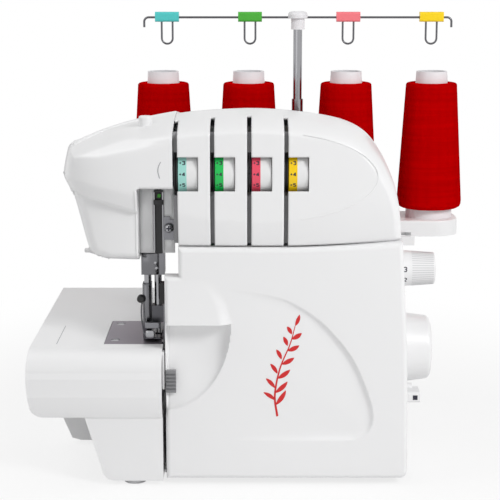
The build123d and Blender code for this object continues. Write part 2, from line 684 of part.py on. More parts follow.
def slot_x(i):
    return (FIRST_SLOT + i * SLOT_PITCH - SLOT_WIDTH / 2, FIRST_SLOT + i * SLOT_PITCH + SLOT_WIDTH / 2)


def top_cover():
    left = HEAD_SPLIT + SEAM / 2
    inner = cover_form(WALL) - block((-FAR, left + WALL), (-FAR, FAR), (0, FAR))
    cover = cover_form(0) - inner
    cover -= block((-FAR, left), (-FAR, FAR), (0, FAR))
    cover -= block((left - 1, left + WALL + 1), *ARM_GATE)
    low = SEAM_HEIGHT - 5
    for i in range(4):
        left, right = slot_x(i)
        cover -= block((left, right), (-FAR, SLOT_BACK), (low, FAR))
        window = (right - 1, right + WINDOW_WIDTH)
        z = (DIAL_HEIGHT - WINDOW_HEIGHT / 2, DIAL_HEIGHT + WINDOW_HEIGHT / 2)
        cover -= block(window, (-FAR, DIAL_Y - DIAL_RADIUS + 12), z)
    return cover


def tension_dial(i):
    right = slot_x(i)[1]
    x = (right + SLIP, right + WINDOW_WIDTH - SLIP)
    dial = rod_x(x, DIAL_Y, DIAL_HEIGHT, DIAL_RADIUS)
    rims = [e for e in dial.edges() if e.geom_type == GeomType.CIRCLE]
    dial = dial.fillet(0.8, rims)
    return dial - rod_x((x[0] - 1, x[1] + 1), DIAL_Y, DIAL_HEIGHT, DIAL_SHAFT + RUNNING)


def tension_shaft():
    return rod_x((slot_x(0)[0] + 0.4, slot_x(3)[1] + WINDOW_WIDTH + 8), DIAL_Y, DIAL_HEIGHT, DIAL_SHAFT)


def tension_discs():
    discs = []
    for i in range(4):
        left, right = slot_x(i)
        for x in ((left + 0.2, left + 0.2 + DISC_THICK), (right - 0.2 - DISC_THICK, right - 0.2)):
            disc = rod_x(x, DIAL_Y, DIAL_HEIGHT, DISC_RADIUS)
            discs.append(disc - rod_x((x[0] - 1, x[1] + 1), DIAL_Y, DIAL_HEIGHT, DIAL_SHAFT + RUNNING))
    return discs


def tension_frame():
    """A dark plate behind the slots, with an ear at each end for the dials' shaft."""
    plate_y = (DIAL_Y + DIAL_RADIUS + 2, DIAL_Y + DIAL_RADIUS + 4)
    left, right = slot_x(0)[0] + 0.4, slot_x(3)[1] + WINDOW_WIDTH + 6
    frame = block((left, right), plate_y, (SEAM_HEIGHT + 4, CROWN - 12))
    ear_y = (DIAL_Y - 6, plate_y[0])
    ear_z = (DIAL_HEIGHT - 7, DIAL_HEIGHT + 7)
    frame += block((right - 3, right), ear_y, ear_z)
    frame -= rod_x((right - 5, right + 1), DIAL_Y, DIAL_HEIGHT, DIAL_SHAFT + RUNNING)
    return frame


# Head cover

def head_section(x, front, upper, lower, band, crown):
    """One upright slice of the head, front to back."""
    return [
        (x, front + 1.5, upper), (x, front, lower), (x, front + 8, band), (x, front + 9, HEAD_BOTTOM - 20),
        (x, HEAD_BACK, HEAD_BOTTOM - 20), (x, HEAD_BACK, crown - 14), (x, HEAD_BACK - 14, crown),
        (x, front + 48, crown),
    ]


HEAD_SLICES = (
    (-160.0, FACET + 26.0, CROWN - 37.0, CROWN - 49.5, CROWN - 58.5, CROWN - 12.5),
    (-140.0, FACET + 11.5, CROWN - 33.5, CROWN - 54.2, CROWN - 64.5, CROWN - 9.5),
    (-115.0, FACET + 4.5, CROWN - 29.5, CROWN - 59.3, CROWN - 71.5, CROWN - 3.5),
    (-66.0, FACET + 0.5, CROWN - 19.5, CROWN - 68.0, CROWN - 83.5, CROWN + 1.5),
)


def head_outline(inset):
    """The head's front view drawn back through its depth."""
    low = SEAM_HEIGHT + SEAM / 2
    crown = crown_runs((side_x(low), low))
    n = len(crown)
    left = [
        (HEAD_LEFT + 2.9, CROWN - 29.9), (HEAD_LEFT + 2.1, CROWN - 33.5), (HEAD_LEFT, CROWN - 47.2),
        (HEAD_LEFT + 6.1, CROWN - 54.4), (HEAD_LEFT + 13.7, CROWN - 75.7), (HEAD_LEFT + 19.2, HEAD_BOTTOM + 16.8),
        (HEAD_LEFT + 21.5, HEAD_BOTTOM + 5), (HEAD_LEFT + 31.3, HEAD_BOTTOM),
    ]
    p = inset_points(crown + left + [(HEAD_SPLIT + 30, HEAD_BOTTOM)], inset)
    runs = [p[:n], p[n - 1 : n + 2], p[n + 1 : n + 3], p[n + 2 : n + 4], p[n + 3 : n + 6], p[n + 5 : n + 8]]
    return roofed(runs + [p[n + 7 :], [p[-1], p[0]]])


def head_form(inset):
    sections = [Wire.make_polygon([Vector(*p) for p in head_section(*s)]) for s in HEAD_SLICES]
    form = Solid.make_loft(sections, ruled=False)
    if inset:
        form = Pos(0, inset, -inset) * form
        form &= block((-FAR, HEAD_SPLIT - inset), (-FAR, HEAD_BACK - inset), (0, FAR))
    return form & head_outline(inset) & block((-FAR, HEAD_SPLIT), (-FAR, FAR), (HEAD_BOTTOM + inset, FAR))


def needle_recess():
    """Cheek, ceiling and rear wall of the needle space; the wall has a slot for the needle bar."""
    z = (HEAD_BOTTOM + 2, NOTCH_TOP + HEAD_WALL)
    depth = (FACET - 10, RECESS_Y[1])
    x = (NOTCH_LEFT - HEAD_WALL, HEAD_SPLIT)
    recess = block(x, RECESS_Y, z) + block((x[0], NOTCH_LEFT), depth, z) + block(x, depth, (NOTCH_TOP, z[1]))
    slot = (NEEDLE_BAR[0] - 1.6, NEEDLE_BAR[0] + 4.9)
    return recess - block(slot, (RECESS_Y[0] - 1, RECESS_Y[1] + 1), (0, NOTCH_TOP - 3))


def face_cover():
    outer = head_form(0)
    cover = outer - head_form(HEAD_WALL)
    cover -= block((NOTCH_LEFT, 0), (-FAR, FRAME_FACE + 8), (0, NOTCH_TOP))
    cover -= block((NOTCH_LEFT, 0), (FRAME_FACE, FAR), (0, ARM_UNDER))
    cover += needle_recess() & outer
    cover -= block((HEAD_SPLIT - HEAD_WALL - 1, HEAD_SPLIT + 1), *ARM_GATE)
    cover -= rod_z(PRESSER_BAR[0], BAR_LINE, (HEAD_BOTTOM, FAR), SCREW_KNOB + SLIP)
    cover -= rod_y(LIFTER[0], (HEAD_BACK - 10, HEAD_BACK + 10), LIFTER[1], LIFTER_PIN + SLIP)
    return cover


# Main frame


def main_frame():
    """A foot, two webs with the shaft's bearings, a motor cradle, and the arm that reaches into the head."""
    arm_x = (ARM_LEFT, WEB_LEFT[0])
    arm_low = ARM_UNDER + 2
    rocker_top = NEEDLE_ARM_HEIGHT + 12
    face = (FRAME_FACE, FRAME_FACE + 8)
    lug_y = (BAR_LINE - 6, FRAME_FACE)
    frame = block((WEB_LEFT[0], WEB_RIGHT[1]), (FRAME_FACE, FRAME_FOOT_BACK), (PAN_TOP, PAN_TOP + 8))
    frame += block(WEB_LEFT, (FRAME_FACE, FRAME_BACK), (PAN_TOP, LIFTER[1] + 10))
    frame += block(WEB_LEFT, (ROCKER_Y - 14, ROCKER_Y + 14), (PAN_TOP, rocker_top))
    frame += block(WEB_RIGHT, (AXLE_Y - 26.5, FRAME_FOOT_BACK), (PAN_TOP, AXLE_Z + 58))
    frame += block(arm_x, face, (arm_low, FRAME_TOP))
    frame += block(arm_x, (FRAME_FACE, FRAME_BACK), (arm_low, ARM_UNDER + 10))
    frame += block(arm_x, (FRAME_BACK - 14, FRAME_BACK), (arm_low, LIFTER[1] + 10))
    frame += block((ARM_LEFT, ARM_LEFT + 7), (FRAME_FACE, ROCKER_Y + 12), (arm_low, rocker_top))
    frame += block((ARM_LEFT - 1.5, NEEDLE_BAR[0] + 6.2), lug_y, (NOTCH_TOP + 4, NOTCH_TOP + 10))
    frame += block((ARM_LEFT - 1.5, PRESSER_BAR[0] + 3.1), lug_y, (PRESSER_TOP + 4.5, FRAME_TOP))
    looper_z = (UPPER_LOOPER[1] - 6, UPPER_LOOPER[1] + 6)
    frame += block((UPPER_LOOPER[0] - 5, WEB_LEFT[0]), (FRAME_FACE - 2, FRAME_FACE + 8), looper_z)
    cradle_y = (MOTOR_Y - 16, MOTOR_Y + 16)
    frame += block((MOTOR_X[0] + 12, MOTOR_X[1] - 12), cradle_y, (PAN_TOP, MOTOR_Z - 20))
    frame -= rod_x((MOTOR_X[0], MOTOR_X[1]), MOTOR_Y, MOTOR_Z, MOTOR_RADIUS)
    frame -= block((ROCKER_X[0] - 1, ROCKER_X[1] + 1), (FRAME_FACE - 1, FRAME_FACE + 9), (NOTCH_TOP, FAR))
    for x in (WEB_LEFT, WEB_RIGHT):
        frame -= rod_x((x[0] - 1, x[1] + 1), AXLE_Y, AXLE_Z, BEARING)
    frame -= rod_x((WEB_RIGHT[0] - 1, WEB_RIGHT[1] + 1), MOTOR_Y, MOTOR_Z, PINION_SHAFT + 3)
    frame -= rod_x((ARM_LEFT - 1, WEB_LEFT[1] + 1), ROCKER_Y, NEEDLE_ARM_HEIGHT, ROCKER_SHAFT + RUNNING)
    looper_y = (FRAME_FACE - 10, FRAME_FACE + 20)
    frame -= rod_y(UPPER_LOOPER[0], looper_y, UPPER_LOOPER[1], LOOPER_SHAFT + RUNNING)
    frame -= rod_y(LIFTER[0], (FRAME_BACK - 24, HEAD_BACK + 10), LIFTER[1], LIFTER_PIN + RUNNING)
    for x, radius in (NEEDLE_BAR, PRESSER_BAR):
        frame -= rod_z(x, BAR_LINE, (NOTCH_TOP, FAR), radius + RUNNING)
    return frame


def bar_bushing():
    """The block that guides both bars, hung from the frame's arm."""
    low, high = BUSHING_Z
    bush = block(BUSHING_X, BUSHING_Y, BUSHING_Z)
    bush += block((BUSHING_X[0], NEEDLE_BAR[0] + 1.2), (BUSHING_Y[1] - 6, FRAME_FACE), (low, ARM_UNDER + 12))
    for x, radius in (NEEDLE_BAR, PRESSER_BAR):
        bush -= rod_z(x, BAR_LINE, (low - 1, ARM_UNDER + 20), radius + RUNNING)
    return bush


def guide_bracket():
    left, low = NEEDLE_BAR[0] + 5.9, ARM_UNDER - 6
    wall = RECESS_Y[0]
    plate = block((left, left + 4.8), (wall - 2, wall), (low, low + 19))
    plate += block((left, left + 8), (wall - 2, wall), (low, low + 16.5))
    return plate + rod_y(left + 4, (wall - 4.5, wall - 1), low + 10, 3.6)


# Needle drive


def needle_arm():
    """A rocker on its shaft; the fork's slot takes the needle bar's stud."""
    y, z = ROCKER_Y, NEEDLE_ARM_HEIGHT
    arm = rod_x(ROCKER_X, y, z, ROCKER_SHAFT + 4)
    arm += block(ROCKER_X, (y - NEEDLE_ARM - 4, y), (z - 4.8, z + 4.8))
    slot = STUD + 1.3
    arm -= block((ROCKER_X[0] - 1, ROCKER_X[1] + 1), (BAR_LINE - 5, BAR_LINE + 5), (z - slot, z + slot))
    return arm + rod_x((ARM_LEFT, WEB_LEFT[1]), y, z, ROCKER_SHAFT)


def needle_bar():
    x, radius = NEEDLE_BAR
    bar = rod_z(x, BAR_LINE, (CLAMP_Z[0] + 7, NEEDLE_BAR_TOP), radius)
    bar += rod_z(x, BAR_LINE, (NEEDLE_ARM_HEIGHT - 2.5, NEEDLE_ARM_HEIGHT + 2.5), COLLAR)
    return bar + rod_x((x, ROCKER_X[1] + 0.5), BAR_LINE, NEEDLE_ARM_HEIGHT, STUD)


def needle_clamp():
    low, high = CLAMP_Z
    clamp = block(CLAMP_X, CLAMP_Y, CLAMP_Z)
    clamp -= rod_z(NEEDLE_BAR[0], BAR_LINE, (low + 7, high + 1), NEEDLE_BAR[1])
    for needle in NEEDLE_X:
        clamp -= rod_z(needle, BAR_LINE, (low - 1, low + 6), NEEDLE_RADIUS)
    return clamp


def needles():
    top = CLAMP_Z[0] + 6
    point = 3.0
    made = []
    for i, x in enumerate(NEEDLE_X):
        tip = NEEDLE_TIP + i * 1.5
        needle = rod_z(x, BAR_LINE, (tip + point, top), NEEDLE_RADIUS)
        made.append(needle + cone_z(x, BAR_LINE, (tip, tip + point), 0.1, NEEDLE_RADIUS))
    return made


def presser_bar():
    return rod_z(PRESSER_BAR[0], BAR_LINE, (SHANK_TOP - 12, PRESSER_TOP), PRESSER_BAR[1])


def presser_foot():
    low = BED_TOP + FOOT_SOLE
    front = FOOT_Y[0]
    foot = block(FOOT_X, FOOT_Y, (low, low + FOOT_THICK))
    foot += block((FOOT_X[0] - 1.2, CLAMP_X[0] - 0.4), (BAR_LINE - 5, BAR_LINE + 7), (low, SHANK_TOP))
    foot -= rod_z(PRESSER_BAR[0], BAR_LINE, (SHANK_TOP - 12, SHANK_TOP + 1), PRESSER_BAR[1])
    foot -= block((NEEDLE_X[0] - 1.6, 0), (BAR_LINE - 3, BAR_LINE + 3), (low - 1, low + FOOT_THICK + 1))
    toe = prism_x(
        lines([(front - 1, low - 1), (front - 1, low + 2), (front + 6, low - 0.01), (front + 6, low - 1)]),
        (FOOT_X[0] - 1, FOOT_X[1] + 1),
    )
    return foot - toe


def presser_lever():
    """The lifter behind the head, with its tip below the head's left corner."""
    y = (HEAD_BACK + SEAM, HEAD_BACK + SEAM + 5)
    x, z = LIFTER
    tip = [(x - 40, z - 22), (x - 67.5, z - 50), (x - 68.5, z - 56), (x - 62, z - 58), (x - 34, z - 34)]
    arm = prism_y(lines([(x, z - 6), (x, z + 6)] + tip), y)
    arm += rod_y(x, y, z, LIFTER_HUB)
    return arm + rod_y(x, (FRAME_BACK - 14, y[1]), z, LIFTER_PIN)


def pressure_screw():
    x = PRESSER_BAR[0]
    top = CROWN - 3.5
    knob = rod_z(x, BAR_LINE, (top - 10, top), SCREW_KNOB)
    knob = knob.fillet(1.5, [e for e in knob.edges() if abs(e.center().Z - top) < 0.01])
    return knob + rod_z(x, BAR_LINE, (FRAME_TOP - 5, top - 9), PRESSER_BAR[1])


def upper_knife():
    return block(KNIFE_X, KNIFE_Y, (BED_TOP - 1, HOLDER_Z[0]))


def knife_holder():
    """A knob in front of the needle clamp, on a pin that runs back beside it."""
    holder = block((KNIFE_X[0] - 3, KNIFE_X[1] + 2), (KNIFE_Y[0] - 3, KNIFE_Y[1]), HOLDER_Z)
    middle = sum(HOLDER_Z) / 2 + 0.5
    return holder + rod_y((KNIFE_X[0] + KNIFE_X[1] + 2) / 2, (KNIFE_Y[1] - 1, FRAME_FACE - 4), middle, 1.8)


def lower_looper():
    """A hooked blade on its shaft; the tip ends under the needle plate."""
    x, z = LOWER_LOOPER
    y = (BAR_LINE + 1.4, BAR_LINE + 3.4)
    top = BED_TOP - 12.5
    hook = [(x + 2, top - 4), (x + 11, top - 2.5), (x + 11, top - 1.5), (x - 3, top)]
    looper = rod_y(x, (y[0], BAR_LINE + 9), z, LOOPER_HUB)
    looper += prism_y(lines([(x - 4, z), (x + 4, z)] + hook), y)
    return looper + rod_y(x, (BAR_LINE + 8, PLATE_BACK - 1), z, LOOPER_SHAFT)


def upper_looper():
    x, z = UPPER_LOOPER
    y = (BAR_LINE - 4.6, BAR_LINE - 2.6)
    top = BED_TOP - 7.5
    hook = [(x - 5, top - 6), (x - 11, top), (x - 12, top - 1), (x - 9, top - 8)]
    looper = rod_y(x, (y[0], BAR_LINE + 3), z, LOOPER_HUB)
    looper += prism_y(lines([(x - 4, z), (x + 3, z)] + hook), y)
    return looper + rod_y(x, (BAR_LINE + 2, FRAME_FACE + 8), z, LOOPER_SHAFT)


def feed_dog():
    y = (FEED_SLOT_Y[0] + 3.5, FEED_SLOT_Y[1] - 4)
    top = BED_TOP + 0.4
    middle = FEED_ROD[1] + 1
    dog = block((FEED_SLOTS[0][0], FEED_SLOTS[1][1]), y, (middle - 5, middle + 5))
    for x in FEED_SLOTS:
        dog += block(x, y, (middle + 4, top))
        for i in range(11):
            at = y[0] + 2 + i * 2
            tooth = lines([(at - 0.8, top + 0.01), (at, top - 1), (at + 0.8, top + 0.01)])
            dog -= prism_x(tooth, (x[0] - 1, x[1] + 1))
    return dog - rod_y(FEED_ROD[0], (y[0] - 1, y[1] + 1), FEED_ROD[1], FEED_ROD_RADIUS + RUNNING)


# Shaft, motor and belt

def main_shaft():
    return rod_x((WEB_LEFT[0] - 6, WHEEL_END - 8), AXLE_Y, AXLE_Z, AXLE_RADIUS)


def shaft_bearings():
    rings = []
    for x in (WEB_LEFT, WEB_RIGHT):
        ring = rod_x(x, AXLE_Y, AXLE_Z, BEARING)
        rings.append(ring - rod_x((x[0] - 1, x[1] + 1), AXLE_Y, AXLE_Z, AXLE_RADIUS + RUNNING))
    return rings


def handwheel():
    """A tapering drum with a rounded end."""
    start = side_x(AXLE_Z - WHEEL_RADIUS) + SEAM
    wheel = cone_x((start, WHEEL_END), AXLE_Y, AXLE_Z, WHEEL_RADIUS, WHEEL_RADIUS - WHEEL_TAPER)
    wheel = wheel.fillet(WHEEL_ROUND, [e for e in wheel.edges() if abs(e.center().X - WHEEL_END) < 0.01])
    return wheel - rod_x((start - 1, WHEEL_END - 8), AXLE_Y, AXLE_Z, AXLE_RADIUS)


def drive_pulley():
    pulley = rod_x(PULLEY_X, AXLE_Y, AXLE_Z, PULLEY_RADIUS)
    return pulley - rod_x((PULLEY_X[0] - 1, PULLEY_X[1] + 1), AXLE_Y, AXLE_Z, AXLE_RADIUS)


def belt_loop(extra):
    """The two pulleys and the tangents that join them, grown by a distance."""
    r1, r2 = PULLEY_RADIUS + extra, PINION_RADIUS + extra
    dy, dz = MOTOR_Y - AXLE_Y, MOTOR_Z - AXLE_Z
    length = sqrt(dy**2 + dz**2)
    dy, dz = dy / length, dz / length
    cosine = (r1 - r2) / length
    sine = sqrt(1 - cosine**2)

    def at(centre, radius, along, across):
        y = centre[0] + radius * (along * dy - across * dz)
        return (y, centre[1] + radius * (along * dz + across * dy))

    big, small = (AXLE_Y, AXLE_Z), (MOTOR_Y, MOTOR_Z)
    b1, b2 = at(big, r1, cosine, sine), at(big, r1, cosine, -sine)
    s1, s2 = at(small, r2, cosine, sine), at(small, r2, cosine, -sine)
    runs = [[b1, at(big, r1, -1, 0), b2], [b2, s2], [s2, at(small, r2, 1, 0), s1], [s1, b1]]
    return prism_x(runs, (PULLEY_X[0] + 1, PULLEY_X[1] - 1))


def timing_belt():
    return belt_loop(RUNNING + BELT_THICK) - belt_loop(RUNNING)


def motor():
    body = rod_x(MOTOR_X, MOTOR_Y, MOTOR_Z, MOTOR_RADIUS)
    body = body.fillet(3, [e for e in body.edges() if e.geom_type == GeomType.CIRCLE])
    return body - rod_x((MOTOR_X[1] - 20, MOTOR_X[1] + 1), MOTOR_Y, MOTOR_Z, PINION_SHAFT + RUNNING)


def motor_pulley():
    pulley = rod_x(PULLEY_X, MOTOR_Y, MOTOR_Z, PINION_RADIUS)
    return pulley + rod_x((MOTOR_X[1] - 18, PULLEY_X[1]), MOTOR_Y, MOTOR_Z, PINION_SHAFT)


# Controls on the right side


def stitch_dial():
    y, z = STITCH_DIAL
    start = side_x(z - STITCH_DIAL_RADIUS) + SEAM
    knob = cone_x((start, STITCH_DIAL_END), y, z, STITCH_DIAL_RADIUS, STITCH_DIAL_RADIUS - STITCH_DIAL_TAPER)
    knob = knob.fillet(1.2, [e for e in knob.edges() if abs(e.center().X - STITCH_DIAL_END) < 0.01])
    return knob + rod_x((start - STEM_LENGTH, start + 1), y, z, DIAL_STEM)


def feed_lever():
    y, z = FEED_LEVER
    start = side_x(z - FEED_LEVER_LENGTH) + SEAM
    lever = rod_x((start, FEED_LEVER_END - 5), y, z, LEVER_HUB)
    half = FEED_LEVER_WIDTH / 2
    blade = block((start, FEED_LEVER_END), (y - FEED_LEVER_LENGTH, y), (z - half, z + half))
    blade = blade.fillet(2, blade.edges().filter_by(Axis.X))
    return lever + blade + rod_x((start - STEM_LENGTH, start + 1), y, z, LEVER_STEM)


def power_unit():
    unit = block(POWER_X, POWER_Y, POWER_Z)
    deep = (POWER_X[0] + 6, POWER_X[1] + 1)
    unit -= block(deep, INLET_Y, (POWER_Z[0] + 3, POWER_Z[1] - 3))
    unit -= block(deep, SWITCH_Y, (POWER_Z[0] + 2, POWER_Z[1] - 2))
    for y in (INLET_Y[0] + 6, INLET_Y[1] - 6):
        unit += rod_x((POWER_X[0] + 5, POWER_X[1] - 3), y, (POWER_Z[0] + POWER_Z[1]) / 2, 1.2)
    return unit + rod_z(SWITCH_X, sum(SWITCH_Y) / 2, (POWER_Z[0] + 1, POWER_Z[1] - 1), SWITCH_PIN)


def power_switch():
    x, y = SWITCH_X, sum(SWITCH_Y) / 2
    z = (POWER_Z[0] + 2 + SLIP, POWER_Z[1] - 2 - SLIP)
    section = [(x - 5, y - 9), (x - 5, y + 9), (x + 7.5, y + 9.5), (x + 6.5, y), (x + 7.5, y - 9.5)]
    rocker = prism_z(lines(section), z)
    return rocker - rod_z(x, y, (z[0] - 1, z[1] + 1), SWITCH_PIN + RUNNING)


# Thread stand


def thread_stand():
    x, y = STAND_X, STAND_Y
    plate = block(x, y, (STAND_TOP - STAND_THICK, STAND_TOP))
    plate = plate.fillet(STAND_CORNER, plate.edges().filter_by(Axis.Z))
    plate = plate.fillet(2, [e for e in plate.edges() if abs(e.center().Z - STAND_TOP) < 0.01])
    block_y = (UPPER_BACK + 4, STAND_Y[1] - 6)
    plate += block(STAND_BLOCK_X, block_y, (LEDGE_HEIGHT, STAND_TOP - STAND_THICK + 1))
    plate -= block(
        (STAND_BLOCK_X[0] + STAND_WALL, STAND_BLOCK_X[1] - STAND_WALL),
        (block_y[0] + STAND_WALL, block_y[1] - STAND_WALL),
        (LEDGE_HEIGHT - 1, STAND_TOP - 11),
    )
    for x in CONE_X:
        plate -= rod_z(x, CONE_Y, (STAND_TOP - PIN_SINK, STAND_TOP + 1), PIN_RADIUS)
    return plate - rod_z(POLE_X, CONE_Y, (STAND_TOP - POLE_SINK, STAND_TOP + 1), LOWER_POLE)


def spool_pins():
    pins = []
    for x in CONE_X:
        pin = rod_z(x, CONE_Y, (STAND_TOP - PIN_SINK, STAND_TOP + PIN_HEIGHT), PIN_RADIUS)
        pins.append(pin + rod_z(x, CONE_Y, (STAND_TOP, STAND_TOP + 3), CONE_FOOT_RADIUS - CORE_WALL - 1))
    return pins


def core_form(x, inset):
    top = STAND_TOP + CORE_HEIGHT
    return cone_z(x, CONE_Y, (STAND_TOP, top), CONE_FOOT_RADIUS - inset, CORE_TOP_RADIUS - inset)


def cone_cores():
    return [core_form(x, 0) - core_form(x, CORE_WALL) for x in CONE_X]


def thread_cones():
    low, high = STAND_TOP + THREAD_FOOT, STAND_TOP + THREAD_TOP
    shoulder = low + THREAD_SHOULDER
    foot = CONE_FOOT_RADIUS + 1
    wide, narrow = THREAD_LOW_RADIUS, THREAD_HIGH_RADIUS
    made = []
    for x in CONE_X:
        face = closed_face(
            lambda a, b: (x + a, CONE_Y, b),
            [
                [(0, low), (foot, low)],
                [(foot, low), (wide - 1.6, low + 0.45 * THREAD_SHOULDER), (wide, shoulder)],
                [(wide, shoulder), (narrow, high - 1.5)],
                [(narrow, high - 1.5), (narrow - 2, high)],
                [(narrow - 2, high), (0, high)],
                [(0, high), (0, low)],
            ],
        )
        winding = Solid.revolve(face, 360, Axis((x, CONE_Y, 0), (0, 0, 1)))
        made.append(winding - core_form(x, 0))
    return made


def guide_pole():
    pole = rod_z(POLE_X, CONE_Y, (STAND_TOP - POLE_SINK, LOWER_POLE_TOP), LOWER_POLE)
    pole += rod_z(POLE_X, CONE_Y, (STAND_TOP, STAND_TOP + 4), LOWER_POLE + 3)
    bottom = LOWER_POLE_TOP - POLE_OVERLAP - GUIDE_SLIDE - 2
    return pole - rod_z(POLE_X, CONE_Y, (bottom, LOWER_POLE_TOP + 1), UPPER_POLE + RUNNING)


def guide_tube():
    return rod_z(POLE_X, CONE_Y, (LOWER_POLE_TOP - POLE_OVERLAP, CAP_BOTTOM + CAP_SOCKET), UPPER_POLE)


def guide_cap():
    brim = CAP_TOP - CAP_BRIM
    cap = rod_z(POLE_X, CONE_Y, (CAP_BOTTOM, brim + 1), CAP_NECK)
    dome = rod_z(POLE_X, CONE_Y, (brim, CAP_TOP), CAP_RADIUS)
    cap += dome.fillet(3.5, [e for e in dome.edges() if abs(e.center().Z - CAP_TOP) < 0.01])
    cap -= rod_z(POLE_X, CONE_Y, (CAP_BOTTOM - 1, CAP_BOTTOM + CAP_SOCKET), UPPER_POLE)
    return cap - rod_x((POLE_X - 2 * CAP_RADIUS, POLE_X + 2 * CAP_RADIUS), CONE_Y, GUIDE_HEIGHT, GUIDE_WIRE)


def wire_sweep(path, radius):
    start = path.edges()[0]
    ring = Plane(start.position_at(0), z_dir=start.tangent_at(0)) * Circle(radius)
    return sweep(ring.face(), path=path)


def guide_wire():
    left, right = POLE_X - GUIDE_HALF, POLE_X + GUIDE_HALF
    low = GUIDE_HEIGHT - GUIDE_DROP
    path = FilletPolyline(
        (left, CONE_Y, low), (left, CONE_Y, GUIDE_HEIGHT),
        (right, CONE_Y, GUIDE_HEIGHT), (right, CONE_Y, low), radius=4,
    )
    pieces = [wire_sweep(path.wire(), GUIDE_WIRE)]
    top = GUIDE_HEIGHT - CLIP_SIZE[2] / 2 + 0.5
    half = LOOP_WIDTH / 2
    for x in CLIP_X:
        loop = Wire([
            Edge.make_line((x - half, CONE_Y, top), (x - half, CONE_Y, top - LOOP_DROP + half)),
            Edge.make_three_point_arc(
                (x - half, CONE_Y, top - LOOP_DROP + half),
                (x, CONE_Y, top - LOOP_DROP),
                (x + half, CONE_Y, top - LOOP_DROP + half),
            ),
            Edge.make_line((x + half, CONE_Y, top - LOOP_DROP + half), (x + half, CONE_Y, top)),
        ])
        pieces.append(wire_sweep(loop, LOOP_WIRE))
    return pieces


def guide_clip(i):
    x = CLIP_X[i]
    middle = GUIDE_HEIGHT + 0.5
    size = CLIP_SIZE
    clip = Pos(x, CONE_Y, middle) * Box(*size)
    clip = clip.fillet(2, clip.edges().filter_by(Axis.X))
    return clip - rod_x((x - size[0], x + size[0]), CONE_Y, GUIDE_HEIGHT, GUIDE_WIRE)


SINGLE = (
    base_pan, arm_base, body_shell, front_door, door_hinge_rod, door_grip, bed_cover, needle_plate, bed_frame,
    lower_knife, top_cover, tension_shaft, tension_frame, face_cover, main_frame, bar_bushing, guide_bracket,
    needle_arm, needle_bar, needle_clamp, presser_bar, presser_foot, presser_lever, pressure_screw,
    upper_knife, knife_holder, lower_looper, upper_looper, feed_dog, main_shaft, handwheel, drive_pulley,
    timing_belt, motor, motor_pulley, stitch_dial, feed_lever, power_unit, power_switch, thread_stand,
    guide_pole, guide_tube, guide_cap,
)
GROUPS = (
    rubber_feet, tension_discs, plate_screws, needles, shaft_bearings, spool_pins, cone_cores, thread_cones,
    guide_wire,
)

for make in SINGLE + GROUPS:
    save(make.__name__, make())
for i in range(4):
    save(f"tension_dial_{i + 1}", tension_dial(i))
    save(f"guide_clip_{i + 1}", guide_clip(i))
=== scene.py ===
# %% [markdown]
# # Four-thread overlock machine
#
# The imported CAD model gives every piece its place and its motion. This scene gives each piece its
# finish, and redraws the moulded covers as smooth surfaces, because their soft hollows and rounded
# shoulders are what the eye reads first. Lengths are in millimetres in the object's own frame
# (X right, Y back, Z up) and become metres when a mesh is written.

# %% Load the frame
import math
import bpy
import bmesh
import numpy as np
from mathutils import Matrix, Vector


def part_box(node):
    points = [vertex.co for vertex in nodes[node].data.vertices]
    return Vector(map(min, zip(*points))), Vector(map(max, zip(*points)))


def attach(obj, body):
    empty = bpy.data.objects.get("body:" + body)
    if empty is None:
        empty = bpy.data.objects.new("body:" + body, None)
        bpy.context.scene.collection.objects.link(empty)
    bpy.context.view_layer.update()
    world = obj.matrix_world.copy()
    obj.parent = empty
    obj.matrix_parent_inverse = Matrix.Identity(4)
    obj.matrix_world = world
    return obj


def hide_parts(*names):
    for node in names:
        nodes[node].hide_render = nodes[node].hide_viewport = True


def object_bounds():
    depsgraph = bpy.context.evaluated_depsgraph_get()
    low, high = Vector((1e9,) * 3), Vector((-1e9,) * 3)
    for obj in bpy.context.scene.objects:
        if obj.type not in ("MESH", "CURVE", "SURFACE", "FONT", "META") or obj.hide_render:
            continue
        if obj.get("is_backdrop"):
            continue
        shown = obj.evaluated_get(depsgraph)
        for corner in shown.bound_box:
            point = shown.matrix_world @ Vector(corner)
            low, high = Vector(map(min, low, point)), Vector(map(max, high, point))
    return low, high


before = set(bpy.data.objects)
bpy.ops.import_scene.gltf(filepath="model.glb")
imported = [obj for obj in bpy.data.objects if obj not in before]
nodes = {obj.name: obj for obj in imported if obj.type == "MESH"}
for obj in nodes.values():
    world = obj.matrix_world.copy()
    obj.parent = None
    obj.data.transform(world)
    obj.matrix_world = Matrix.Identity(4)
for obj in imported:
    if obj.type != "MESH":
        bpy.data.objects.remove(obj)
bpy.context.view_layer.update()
packed = len(bpy.data.materials)
print("CAD nodes:", len(nodes))

# %% [markdown]
# ## Finishes
#
# Moulded plastic is never one flat colour: its tone wavers a little over a panel, and metal has a
# fine grain. An image could carry that, but a noise on Object coordinates needs no file and fits
# pieces of any size, so all plain finishes come from one function and a few node helpers.


# %% Socket helpers
def feed(tree, socket, value):
    """Set a socket to a plain value, or link it to another node's output."""
    if isinstance(value, bpy.types.NodeSocket):
        tree.links.new(value, socket)
    else:
        socket.default_value = value


def math_node(tree, kind, a, b=0.5):
    """One sum on numbers or outputs a and b."""
    node = tree.nodes.new("ShaderNodeMath")
    node.operation = kind
    feed(tree, node.inputs[0], a)
    feed(tree, node.inputs[1], b)
    return node.outputs[0]


def colour_mix(tree, factor, a, b, blend="MIX"):
    """Colour a, blended into b by factor."""
    mix = tree.nodes.new("ShaderNodeMix")
    mix.data_type = "RGBA"
    mix.blend_type = blend
    for name, value in (("Factor", factor), ("A", a), ("B", b)):
        feed(tree, mix.inputs[name], value)
    return mix.outputs["Result"]


